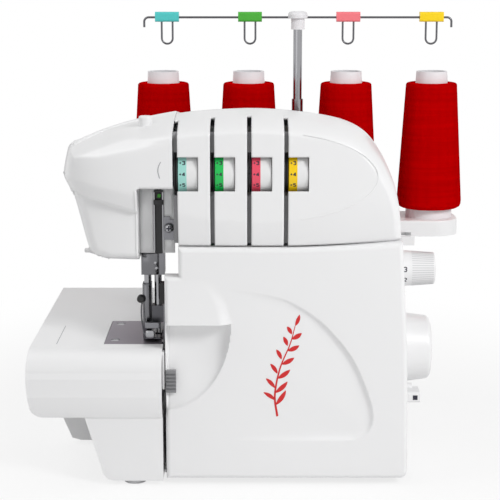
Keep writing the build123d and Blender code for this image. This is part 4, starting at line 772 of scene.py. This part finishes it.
# %% Head outlines
HEAD_BACK, HEAD_LEFT, HEAD_LOW, HEAD_SPLIT = 40.0, -159.2, 185.0, -70.6
RECESS, RECESS_LEFT, RECESS_TOP, RECESS_LOW = -94.0, -99.0, 243.0, 187.0
LEFT_TOP = smooth_line(
    [(-150, 273.2), (-153.4, 272.2), (-155.2, 270), (-156.6, 264.5), (-158.3, 256), (-159.2, 250.8)], 40
)
CHIN = smooth_line(
    [(-154.4, 243.9), (-149.2, 231.7), (-144.6, 215.6), (-139.4, 196.0), (-137.0, 189.8), (-133.6, 186.6),
     (-130, 185.4), (-124, 185)], 60
)
LEFT_LOW = np.vstack([
    np.linspace((HEAD_LEFT, 250.8), (-154.4, 243.9), 8), CHIN[1:],
    np.linspace((-124, HEAD_LOW), (RECESS_LEFT, HEAD_LOW), 20)[1:],
])
HEAD_TOP = np.vstack([CROWN[CROWN[:, 0] < HEAD_SPLIT + 3], LEFT_TOP[1:]])
LEFT_LINE = np.vstack([LEFT_TOP[6:], LEFT_LOW[1:60]])
PLAN = smooth_line(
    [(-160, -99), (-150, -107.3), (-140, -113), (-128, -117.2), (-115, -120), (-99, -122), (-66, -123.8)], 200
)
print("head outline points:", len(HEAD_TOP), "above,", len(LEFT_LOW), "below")

# %% Head face
def top_z(x):
    """Height of the head's upper outline at x."""
    return np.interp(x, HEAD_TOP[::-1, 0], HEAD_TOP[::-1, 1])


def low_z(x):
    """Height of the head's lower outline at x."""
    return np.interp(x, LEFT_LOW[:, 0], LEFT_LOW[:, 1])


def head_front(x, z):
    """Depth of the face: the plan curve, a lean above the upper crease, a slope below the lower one
    and a step at its foot."""
    plan = np.interp(x, PLAN[:, 0], PLAN[:, 1])
    upper = np.interp(x, [-160, -128, -71], [266.5, 268.5, 280.5])
    lower = np.interp(x, [-160, -99, -66], [250, 238.5, 233])
    foot = np.interp(x, [-160, -140, -98.5, -66], [243, 236, 225, 217])
    lean = soft_max(0.0, (z - upper) * 1.35, 2.0) * (1 - 0.85 * step(-100, -71, x))
    slope = soft_min(soft_max(0.0, (lower - z) * 0.36, 0.8), 4.6, 0.5)
    return plan + lean + slope + 4.2 * step(0, 2.4, foot - z) + 0.03 * np.maximum(foot - z, 0)


def head_y(x, z):
    """The face with rounded edges: 8 to 14 mm from the crown, 8 mm from the left, 6 mm from below."""
    peak = ROOF_LINE - head_front(x, top_z(x)) - 30.0 * (1 - step(-160, -125, x))
    y = head_front(x, z) + lip(away(x, z, HEAD_TOP), 8.0 + 6.0 * step(-110, -71, x), peak)
    y = y + lip(away(x, z, LEFT_LINE), 8.0, 6.0)
    return y + lip(away(x, z, [(-136, HEAD_LOW), (RECESS_LEFT, HEAD_LOW)]), 6.0, 6.0)


print("face at three heights:", head_front(-120.0, np.array([200.0, 250.0, 275.0])).round(1))

# %% Head front
NOSE_WIDE, NOSE_TALL, NOSE_DEEP = 3.0, 3.0, 4.0    # rounded edge over the recess
rise = 0.5 - 0.5 * np.cos(np.linspace(0, np.pi, 110))
drop = 1 - np.cos(np.linspace(0, np.pi / 2, 80))
waist = (RECESS_TOP - HEAD_LOW) / (float(top_z(RECESS_LEFT)) - HEAD_LOW)
xs = HEAD_LEFT + (RECESS_LEFT - HEAD_LEFT) * np.linspace(0, 1, 140) ** 1.9
foot_z = low_z(xs)[:, None]
Z = foot_z + (top_z(xs)[:, None] - foot_z) * np.concatenate([waist * drop[:-1], waist + (1 - waist) * rise])
X = np.broadcast_to(xs[:, None], Z.shape)
left_face = places(X, head_y(X, Z), Z)
xs = np.linspace(RECESS_LEFT, HEAD_SPLIT, 60)
Z = RECESS_TOP + (top_z(xs) - RECESS_TOP)[:, None] * rise
X = np.broadcast_to(xs[:, None], Z.shape)
nose = lip(Z - RECESS_TOP, NOSE_TALL, NOSE_DEEP) * step(RECESS_LEFT, RECESS_LEFT + NOSE_WIDE, X)
right_face = places(X, head_y(X, Z) + nose, Z)
head = [(left_face, None), (right_face, None)]
print("head front grids:", left_face.shape[:2], right_face.shape[:2])

# %% Head sides
rim = np.concatenate([right_face[::-1, -1], left_face[::-1, -1][1:], left_face[1:, 0]])
s = np.linspace(0, 1, 30)
Y = rim[:, 1:2] * (1 - s) + HEAD_BACK * s
sink = ROOF_FALL * np.maximum(Y - ROOF_LINE, 0) * step(200, 262, rim[:, 2])[:, None]
head.append((places(rim[:, :1], Y, rim[:, 2:] - sink), None))
print("head sides run back to", HEAD_BACK, "mm")

# %% Needle recess
def inwards(x, y, z):
    """A wall from the line (x, y, z) straight back to the rear of the recess."""
    back = np.linspace(0, 1, 14)
    return places(x, y[:, None] * (1 - back) + RECESS * back, z)[::-1], None


BAR_SLOT, BAR_SLOT_TOP = (-86.8, -80.3), 240.0    # the gap in the recess's rear for the needle bar
wall_z = np.linspace(HEAD_LOW, RECESS_TOP, 60)
head.append(inwards(RECESS_LEFT, head_y(np.full(60, RECESS_LEFT), wall_z), wall_z[:, None]))
lip_x = np.linspace(RECESS_LEFT, HEAD_SPLIT, 30)
lip_y = head_y(lip_x, np.full(30, RECESS_TOP)) + NOSE_DEEP * step(RECESS_LEFT, RECESS_LEFT + NOSE_WIDE, lip_x)
head.append(inwards(lip_x[:, None], lip_y, RECESS_TOP))
for x0, x1, low in (
    (RECESS_LEFT, BAR_SLOT[0], RECESS_LOW), (BAR_SLOT[1], HEAD_SPLIT, RECESS_LOW), (*BAR_SLOT, BAR_SLOT_TOP),
):
    head.append(slab(np.linspace(x0, x1, 4), RECESS, np.linspace(low, RECESS_TOP, 6)))
print("recess depth:", round(float(RECESS - lip_y.min()), 1), "mm")

# %% Head back
BACK_LOW = 204.0    # lower edge of the back, right of the recess's left wall
back_x = np.linspace(HEAD_LEFT, HEAD_SPLIT, 60)
back_low = np.where(back_x < RECESS_LEFT, low_z(back_x), BACK_LOW)
back_top = top_z(back_x) - ROOF_FALL * (HEAD_BACK - ROOF_LINE)
back_z = back_low[:, None] + np.maximum(back_top - back_low, 0)[:, None] * np.linspace(0, 1, 12)
head.append((places(back_x[:, None], HEAD_BACK, back_z)[::-1], None))
head_skin = surface("head_skin", head, WHITE, "machine", sharp=65.0, thick=2.0)
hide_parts("face_cover")

# %% [markdown]
# ## Thread windings
#
# Four cones of red thread stand on the rear tray. A cone is a body of revolution, which Spin could
# make, but a grid of profile by turn gives a UV map at the same time, and the thread finish needs
# one: u goes once round and v runs up the cone.

# %% Thread windings
CONES, CONE_Y = (-90.1, -11.2, 78.9, 158.0), 101.5
MAP_LOW, MAP_TALL = 183, 135    # heights where v is 0, and over which it grows to 1
profile = np.array([
    (22.2, 191.8), (26.8, 192.2), (28.8, 193.4), (29.8, 195.6), (30.0, 199.0), (23.5, 306.4),
    (22.6, 307.6), (21.5, 308.0), (15.2, 308.0),
])
LONG_SIDE = 4    # the stretch of the profile that is the cone's long side gets more rings
along = np.concatenate([np.linspace(i, i + 1, 30 if i == LONG_SIDE else 6)[:-1] for i in range(8)] + [[8]])
radius, height = [np.interp(along, np.arange(len(profile)), profile[:, k]) for k in (0, 1)]
turn = np.linspace(0, 2 * np.pi, 97)[:, None]
uv = places(turn / (2 * np.pi), (height - MAP_LOW) / MAP_TALL)
for i, x in enumerate(CONES):
    grid = places(x + radius * np.cos(turn), CONE_Y + radius * np.sin(turn), height)
    winding = surface(f"winding_{i + 1}", [(grid, None)], THREAD, "machine", uv=uv)
    if i == 0:
        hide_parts("thread_cones")

# %% [markdown]
# ## Dial figures
#
# The dials carry small printed numbers. Text objects would have to be bent round each dial, so a
# figure is a few pen strokes on an unrolled strip, and a function rolls the strip onto its surface.

# %% Pen strokes
STROKES = {
    "2": [[(0, 0.8), (0.2, 1), (0.8, 1), (1, 0.8), (1, 0.6), (0, 0), (1, 0)]],
    "3": [[(0, 0.9), (0.3, 1), (0.8, 1), (1, 0.8), (0.8, 0.55), (0.4, 0.55)],
          [(0.8, 0.55), (1, 0.3), (0.8, 0), (0.2, 0), (0, 0.1)]],
    "4": [[(0.75, 0), (0.75, 1), (0, 0.3), (1, 0.3)]],
    "5": [[(0.95, 1), (0.1, 1), (0.05, 0.6), (0.7, 0.6), (1, 0.35), (0.8, 0), (0, 0)]],
    ".": [[(0.2, 0.5), (0.8, 0.5)]],
    "+": [[(0, 0.5), (1, 0.5)], [(0.5, 0), (0.5, 1)]],
}
PER_STROKE = 5    # points on each straight of a stroke


def ribbon(line, half):
    """A flat ribbon along a line: its points moved to both sides by half, a width for all or for each."""
    d = np.gradient(line, axis=0)
    d /= np.linalg.norm(d, axis=1)[:, None] + 1e-9
    side = np.stack([-d[:, 1], d[:, 0]], -1) * half
    return np.stack([line + side, line - side], 1)


def figure(sign, x, s, wide, tall, pen, place):
    """Strokes of a figure as ribbons: point (x, s) on an unrolled surface goes through place."""
    grids = []
    for stroke in STROKES[sign]:
        p = np.array(stroke, float) * (wide, tall) + (x - wide / 2, s - tall / 2)
        t = np.linspace(0, len(p) - 1, (len(p) - 1) * PER_STROKE + 1)
        line = np.stack([np.interp(t, np.arange(len(p)), p[:, k]) for k in (0, 1)], -1)
        band = ribbon(line, pen / 2)
        grids.append((place(band[..., 0], band[..., 1]), None))
    return grids


print("signs:", *STROKES)

# %% Dial figures
DIAL_Y, DIAL_Z, DIAL_ROLL, DIAL_RADIUS = -103.0, 255.2, 20.1, 20.06
FIGURES, FIGURE_STEP = "345", 9.0


def on_dial(x, s):
    """Unrolled tension dial: angle s / 20.1 from the front, on a circle about the dial's axis."""
    a = s / DIAL_ROLL
    return places(x, DIAL_Y - DIAL_RADIUS * np.cos(a), DIAL_Z + DIAL_RADIUS * np.sin(a))


for i in range(4):
    x = SLOTS[i] + HALF + 3.9
    marks = []
    for k, sign in enumerate(FIGURES):
        s = (1 - k) * FIGURE_STEP
        marks += figure(sign, x + 1.0, s, 2.0, 2.6, 0.75, on_dial)
        marks += figure("+", x - 1.6, s, 1.6, 1.6, 0.6, on_dial)
    surface(f"dial_figures_{i + 1}", marks, INK_AND_SHADE, f"tension_dial_{i + 1}")

# %% [markdown]
# ## Red sprig
#
# A plain red sprig is printed on the door. A picture would need a file, so its stem and leaves are
# thin patches laid just in front of the door's own height field, and follow its hollows by themselves.

# %% Leaves
PRINT_PROUD = 0.12
LEAF_STEPS, LEAF_BEND = 15, 0.35


def on_door(x, z):
    """A place (x, z) on the door's front, just proud of it."""
    return places(x, DOOR_FRONT + door_relief(x, z) - PRINT_PROUD, z)


def leaf_patch(x, z, angle, length, width):
    """A pointed leaf: half width w(t) = width (sin pi t)^0.8 along a gently bent midrib."""
    t = np.linspace(0, 1, LEAF_STEPS + 1)
    v = np.linspace(-1, 1, 5)
    half = width * np.sin(np.pi * t) ** 0.8
    turn = angle + LEAF_BEND * (t - 0.5)
    cx, cz = [
        start + np.concatenate([[0], np.cumsum(way(turn[1:]) * length / LEAF_STEPS)])
        for start, way in ((x, np.cos), (z, np.sin))
    ]
    gx = cx[:, None] - np.sin(turn)[:, None] * half[:, None] * v
    gz = cz[:, None] + np.cos(turn)[:, None] * half[:, None] * v
    return on_door(gx, gz)[:, ::-1], None


print("points of one leaf:", leaf_patch(10.0, 90.0, 0.5, 12.0, 1.5)[0].shape[:2])

# %% Sprig
PAIRS, FIRST_LEAF, LEAF_GAP = 6, 8, 8    # pairs of leaves, and their places along the stem's points
stem = smooth_line([(12, 58), (10, 76), (14, 98), (22, 118), (26, 133)], 60)
heading = np.arctan2(*np.gradient(stem, axis=0).T[::-1])
band = ribbon(stem, np.linspace(0.9, 0.3, 60)[:, None])
sprig = [(on_door(band[..., 0], band[..., 1]), None)]
for k in range(PAIRS):
    i = FIRST_LEAF + LEAF_GAP * k
    size = 15.0 - 1.1 * k
    sprig.append(leaf_patch(stem[i, 0], stem[i, 1], heading[i] - 0.75, size, 1.9))
    sprig.append(leaf_patch(stem[i, 0], stem[i, 1] + 4, heading[i] + 0.8, size * 0.8, 1.6))
sprig.append(leaf_patch(stem[-1, 0], stem[-1, 1], 1.2, 10.0, 1.5))
surface("door_sprig", sprig, RED, "door")

# %% [markdown]
# ## Needle bar fittings
#
# Round the needle bar sit a bright slot edge, a dark cap, small screws and the half-round faces of
# the bushing and of the presser's shank; a dark strip in the slot is painted shade in front of the bar.
# Most are a few millimetres across, so simple formula shapes are enough, and each rides on the body
# that carries it.


# %% Needle bar fittings
def solid(name, grids, material, body):
    """A closed piece, with its faces turned outwards."""
    return surface(name, grids, material, body, closed=True)


BAR_X = -83.5
slot_edges = [pebble((x, -94.5, 214.0), (0.55, 0.8, 26.0), 0.2) for x in (-87.0, -80.1)]
solid("slot_edges", slot_edges, BRIGHT, "machine")
slot_cap_and_shade = [
    pebble((BAR_X, -94.8, 228.5), (3.9, 1.3, 2.2), 0.25),
    # a long thin dark sheet in the slot, in front of the needle bar: painted shade
    pebble((BAR_X, -92.4, 212.0), (2.9, 0.5, 26.0), 0.2),
    pebble((BAR_X, -94.6, 237.6), (3.9, 1.0, 0.9), 0.25),
]
solid("slot_cap_and_shade", slot_cap_and_shade, DARK, "machine")
slot_dot = [pebble((-83.0, -93.6, 233.6), (1.3, 0.8, 1.6), 0.6)]
solid("slot_dot", slot_dot, CLIPS[1], "machine")

# %% Screws, bushing and shank
BOLT_X, BOLT_Z = -75.2, 208.0
BOLT = [(0, -100.2), (2.2, -99.9), (3.5, -99.0), (3.9, -97.9), (3.9, -96.2), (0, -96.2)]    # radius, y
CAP = [(0, -92.9), (1.0, -92.8), (1.4, -92.4), (1.4, -91.0), (0, -91.0)]
CAPS = ((-86.6, 178.2), (-85.8, 173.8))
solid("bracket_screw", [turned_y(BOLT, BOLT_X, BOLT_Z)], BRIGHT, "machine")
bushing = [half_round((-98.2, -83.8), -90.4, 2.0, (168.2, 185.8))]
solid("bushing_face", bushing, BRUSHED, "machine")
shank = [half_round((-97.6, -90.7), -89.9, 2.2, (117.5, 160.0))]
solid("shank_face", shank, BRUSHED, "presser_unit")
solid("bushing_screws", [turned_y(CAP, x, z) for x, z in CAPS], BRIGHT, "machine")

# %% [markdown]
# ## Presser foot fittings
#
# The foot has a dark knob, a bar, a bright toe and a bent wire beside it. They all lift with the
# presser bar, so they ride on its body. The wire is a tube along a spline, which bends
# as a real wire does; straight cylinders would show their joints.

# %% Presser foot fittings
KNOB = [(0, -96), (2.5, -96), (3.0, -95.4), (3.0, -90.2), (0, -90.2)]    # radius, y
WIRE_PATH = [(-97.4, -91, 151), (-98.6, -93, 140), (-98.0, -95, 128), (-95.5, -98, 119.6), (-90, -98, 118.4)]
solid("foot_knob", [turned_y(KNOB, -99.0, 148.6)], DARK, "presser_unit")
surface("foot_wire", [tube(WIRE_PATH, 0.65)], WIRE, "presser_unit")
foot_bar = [pebble((-89.6, -97.4, 127.4), (6.0, 1.7, 2.5), 0.25)]
solid("foot_bar", foot_bar, STEEL, "presser_unit")
foot_toe = [pebble((-91.4, -98.0, 119.8), (3.9, 1.7, 3.6), 0.55)]
solid("foot_toe", foot_toe, BRIGHT, "presser_unit")

# %% [markdown]
# ## Lips, marks and painted shade
#
# Screw slots, a line along the bed, a dot on the feed lever and the ribs of the stitch dial are only
# tenths of a millimetre high. Cutting them would cost many faces for little, so they are flat patches
# just above their surface; the bed's lip and the lever's tip are small rounded solids. The screws'
# slots and cross, a crescent on each plate screw's head and the dial's ribs are painted shade.

# %% Bed lip
bed_lip = [pebble((-79.75, -117.5, 95.5), (0.95, 4.5, 15.5), 0.2)]
solid("bed_lip", bed_lip, WHITE, "bed_cover")

# %% Screw shade and bed mark
PLATE_SCREWS, SCREW_X = (-37.5, -90.8), -120.5
ARC_FROM, ARC_TO, ARC_RADII = -0.6, 3.4, (3.7, 3.0)    # painted shade on the shaded side of a screw's head
LINE_Z, ARC_Z, SLOT_Z = 113.54, 113.55, 113.56    # just above the bed
# painted shade: the bracket screw's cross and the plate screws' slots are dark flats for their recesses
marks = [slab((-77.2, -73.2), -100.24, (207.4, 208.6)), slab((-75.8, -74.6), -100.25, (206.0, 210.0))]
marks += [slab((-123.2, -117.8), (y - 0.7, y + 0.7), SLOT_Z) for y in PLATE_SCREWS]
a, r = np.linspace(ARC_FROM, ARC_TO, 30)[:, None], np.array(ARC_RADII)
marks += [(places(SCREW_X + r * np.cos(a), y + r * np.sin(a), ARC_Z), None) for y in PLATE_SCREWS]
surface("screw_shade", marks, INK_AND_SHADE, "machine")
surface("bed_mark", [slab((-167.4, -166.7), (-104.7, -45.0), LINE_Z)], FAINT, "bed_cover")

# %% Levers
lever_tip = [pebble((-156.2, 47.5, 160.6), (4.2, 2.3, 2.0), 0.4)]
solid("lever_tip", lever_tip, WHITE, "presser_lever")
surface("lever_dot", [slab((127.0, 131.0), -72.06, (56.0, 60.0))], INK_AND_SHADE, "feed_lever")

# %% Stitch dial
KNOB_Y, KNOB_Z, KNOB_ROLL = -33.5, 161.3, 15.0
KNOB_START, KNOB_LONG, KNOB_RADIUS, KNOB_TAPER = 115.1, 31.9, 15.78, 2.2
NUMBER = (2.6, 3.6, 0.8)    # width, height and pen of a figure
DOT = (1.4, 1.0, 1.0)
RIB_STEP, RIB_HALF = 2.1, 0.3


def on_knob(x, s):
    """Unrolled stitch dial: angle s / 15 from the front, on its tapering rim."""
    a = s / KNOB_ROLL
    r = KNOB_RADIUS - KNOB_TAPER * (x - KNOB_START) / KNOB_LONG
    return places(x, KNOB_Y - r * np.cos(a), KNOB_Z + r * np.sin(a))


numbers = figure("3", 121.0, 2.0, *NUMBER, on_knob) + figure("2", 121.0, -7.5, *NUMBER, on_knob)
numbers += figure(".", 119.0, -2.8, *DOT, on_knob) + figure(".", 119.0, 7.5, *DOT, on_knob)
surface("stitch_figures", numbers, INK_AND_SHADE, "stitch_dial")
# painted shade: flat grey stripes where the white dial has ribs
ribs = []
for s in np.arange(-45.0, 46.0, RIB_STEP):
    x, w = np.meshgrid(np.linspace(127.0, 145.5, 6), s + np.array([-RIB_HALF, RIB_HALF]), indexing="ij")
    ribs.append((on_knob(x, w), None))
surface("stitch_rib_shade", ribs, RIB_SHADE, "stitch_dial")

# %% Head mark and panel bead
MARK_HALF, MARK_PROUD = 0.4, 0.1
BEAD_WIDE, BEAD_TALL, BEAD_RADIUS, BEAD_PROUD = 95.0, 36.2, 0.32, 0.12
crescent = smooth_line([(-79.6, 265), (-81.4, 261), (-81.8, 257), (-80.6, 252)], 30)
pen = np.stack([crescent - (MARK_HALF, 0), crescent + (MARK_HALF, 0)], 0)
line = places(pen[..., 0], head_y(pen[..., 0], pen[..., 1]) - MARK_PROUD, pen[..., 1])
surface("head_mark", [(line, None)], FAINT, "machine")
angle = np.radians(np.linspace(-68, 72, 60))
bead_x, bead_z = PANEL_X + BEAD_WIDE * np.cos(angle), PANEL_Z + BEAD_TALL * np.sin(angle)
bead = places(bead_x, FACET + BEAD_PROUD, bead_z)
surface("panel_bead", [tube(bead[::3], BEAD_RADIUS)], WHITE, "machine")

# %% [markdown]
# ## Floor and background
#
# The machine stands on white paper that runs out into a white background. More light would burn out
# the white covers, so the paper only looks whiter to rays that come straight from the camera or by way
# of a mirror or glass: there it turns into a plain white further out, and keeps the shadow close by.


# %% Floor
def looked_at(tree):
    """1 for rays from the camera, a mirror or glass, and 0 for rays that carry light."""
    path = tree.nodes.new("ShaderNodeLightPath").outputs
    mirrored = math_node(tree, "MAXIMUM", path["Is Glossy Ray"], path["Is Transmission Ray"])
    return math_node(tree, "MAXIMUM", path["Is Camera Ray"], mirrored)


def either(tree, share, first, second, out):
    """Mixes two shaders by share and sends the result to an output node."""
    both = tree.nodes.new("ShaderNodeMixShader")
    for i, value in enumerate((share, first.outputs[0], second.outputs[0])):
        feed(tree, both.inputs[i], value)
    feed(tree, out.inputs["Surface"], both.outputs[0])


FLOOR_HALF = 6.0    # metres
NEAR, FAR, NEAR_WHITE = 0.15, 0.60, 0.78    # where the paper starts and ends turning white


def floor_finish():
    """White paper: matt, mixed with plain white by a smooth step of the distance from the object."""
    m = finish("floor_white", (0.93, 0.93, 0.93), 0.9, waver=0.0)
    t = m.node_tree
    reach = t.nodes.new("ShaderNodeVectorMath")
    reach.operation = "LENGTH"
    feed(t, reach.inputs[0], t.nodes["Texture Coordinate"].outputs["Object"])
    far = ranged(t, reach.outputs["Value"], NEAR, FAR, NEAR_WHITE, "SMOOTHSTEP")
    white = t.nodes.new("ShaderNodeEmission")
    share = math_node(t, "MULTIPLY", looked_at(t), far)
    either(t, share, t.nodes["Principled BSDF"], white, t.nodes["Material Output"])
    return m


floor_mesh = bpy.data.meshes.new("floor")
sheet = [(x * FLOOR_HALF, y * FLOOR_HALF, 0) for x, y in ((-1, -1), (1, -1), (1, 1), (-1, 1))]
floor_mesh.from_pydata(sheet, [], [(0, 1, 2, 3)])
floor_mesh.materials.append(floor_finish())
floor = bpy.data.objects.new("floor", floor_mesh)
bpy.context.collection.objects.link(floor)
floor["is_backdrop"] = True
print("floor side:", 2 * FLOOR_HALF, "m")

# %% Background
ROOM_LIGHT = 0.30
scene = bpy.context.scene
scene.world = bpy.data.worlds.new("studio")
scene.world.use_nodes = True
studio = scene.world.node_tree
studio.nodes.clear()


def sky(strength):
    """An even white sky of a strength."""
    node = studio.nodes.new("ShaderNodeBackground")
    node.inputs["Color"].default_value = (1, 1, 1, 1)
    node.inputs["Strength"].default_value = strength
    return node


either(studio, looked_at(studio), sky(ROOM_LIGHT), sky(1.0), studio.nodes.new("ShaderNodeOutputWorld"))
print("room light:", ROOM_LIGHT)

# %% [markdown]
# ## Lamps and camera
#
# A small key lamp from the right front gives the covers their soft shading, a weak fill opens the
# shadows, and a large lamp from the upper left draws the roof. A sun would light all faces of one
# direction alike; area lamps fall off over the object as studio lamps do. The camera looks a little
# down, through a long lens, from where the real machine would be photographed.


# %% Lamps
def lamp(name, at, to, size, power):
    """A rectangular area lamp at a place, turned so that its -Z axis points to another."""
    data = bpy.data.lights.new(name, "AREA")
    data.shape = "RECTANGLE"
    data.size, data.size_y = size
    data.energy = power
    o = bpy.data.objects.new(name, data)
    bpy.context.collection.objects.link(o)
    o.location = at
    d = np.array(to, float) - np.array(at, float)
    o.rotation_euler = (math.atan2(math.hypot(d[0], d[1]), -d[2]), 0, math.atan2(d[0], -d[1]) + math.pi)
    print(f"{name} lamp: {power} W")


lamp("key", (0.95, -0.95, 1.0), (0, 0, 0.15), (0.4, 0.4), 12.8)
lamp("fill", (-0.8, -1.5, 0.5), (0, 0, 0.18), (1.0, 0.8), 1.5)
lamp("top", (-0.9, -0.2, 1.3), (-0.05, 0, 0.12), (0.9, 0.9), 6.5)

# %% Camera
LENS, SENSOR = 103.5, 36.0    # mm
EYE = (-0.010, -1.2335, 0.419)    # metres
LOOK_DOWN = 11.4    # degrees
camera_data = bpy.data.cameras.new("camera")
camera_data.lens = LENS
camera_data.sensor_width = SENSOR
camera = bpy.data.objects.new("camera", camera_data)
bpy.context.collection.objects.link(camera)
camera.location = EYE
camera.rotation_euler = (math.radians(90 - LOOK_DOWN), 0, 0)
scene.camera = camera
scene.view_settings.view_transform = "Standard"
print("camera looks down by", LOOK_DOWN, "degrees")

# %% [markdown]
# ## Size and finish
#
# The looks must not change the object's size, so the size of the finished pieces is printed.

# %% Size and finish
low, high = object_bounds()
print("finished size in mm:", [round(1000 * float(b - a)) for a, b in zip(low, high)])
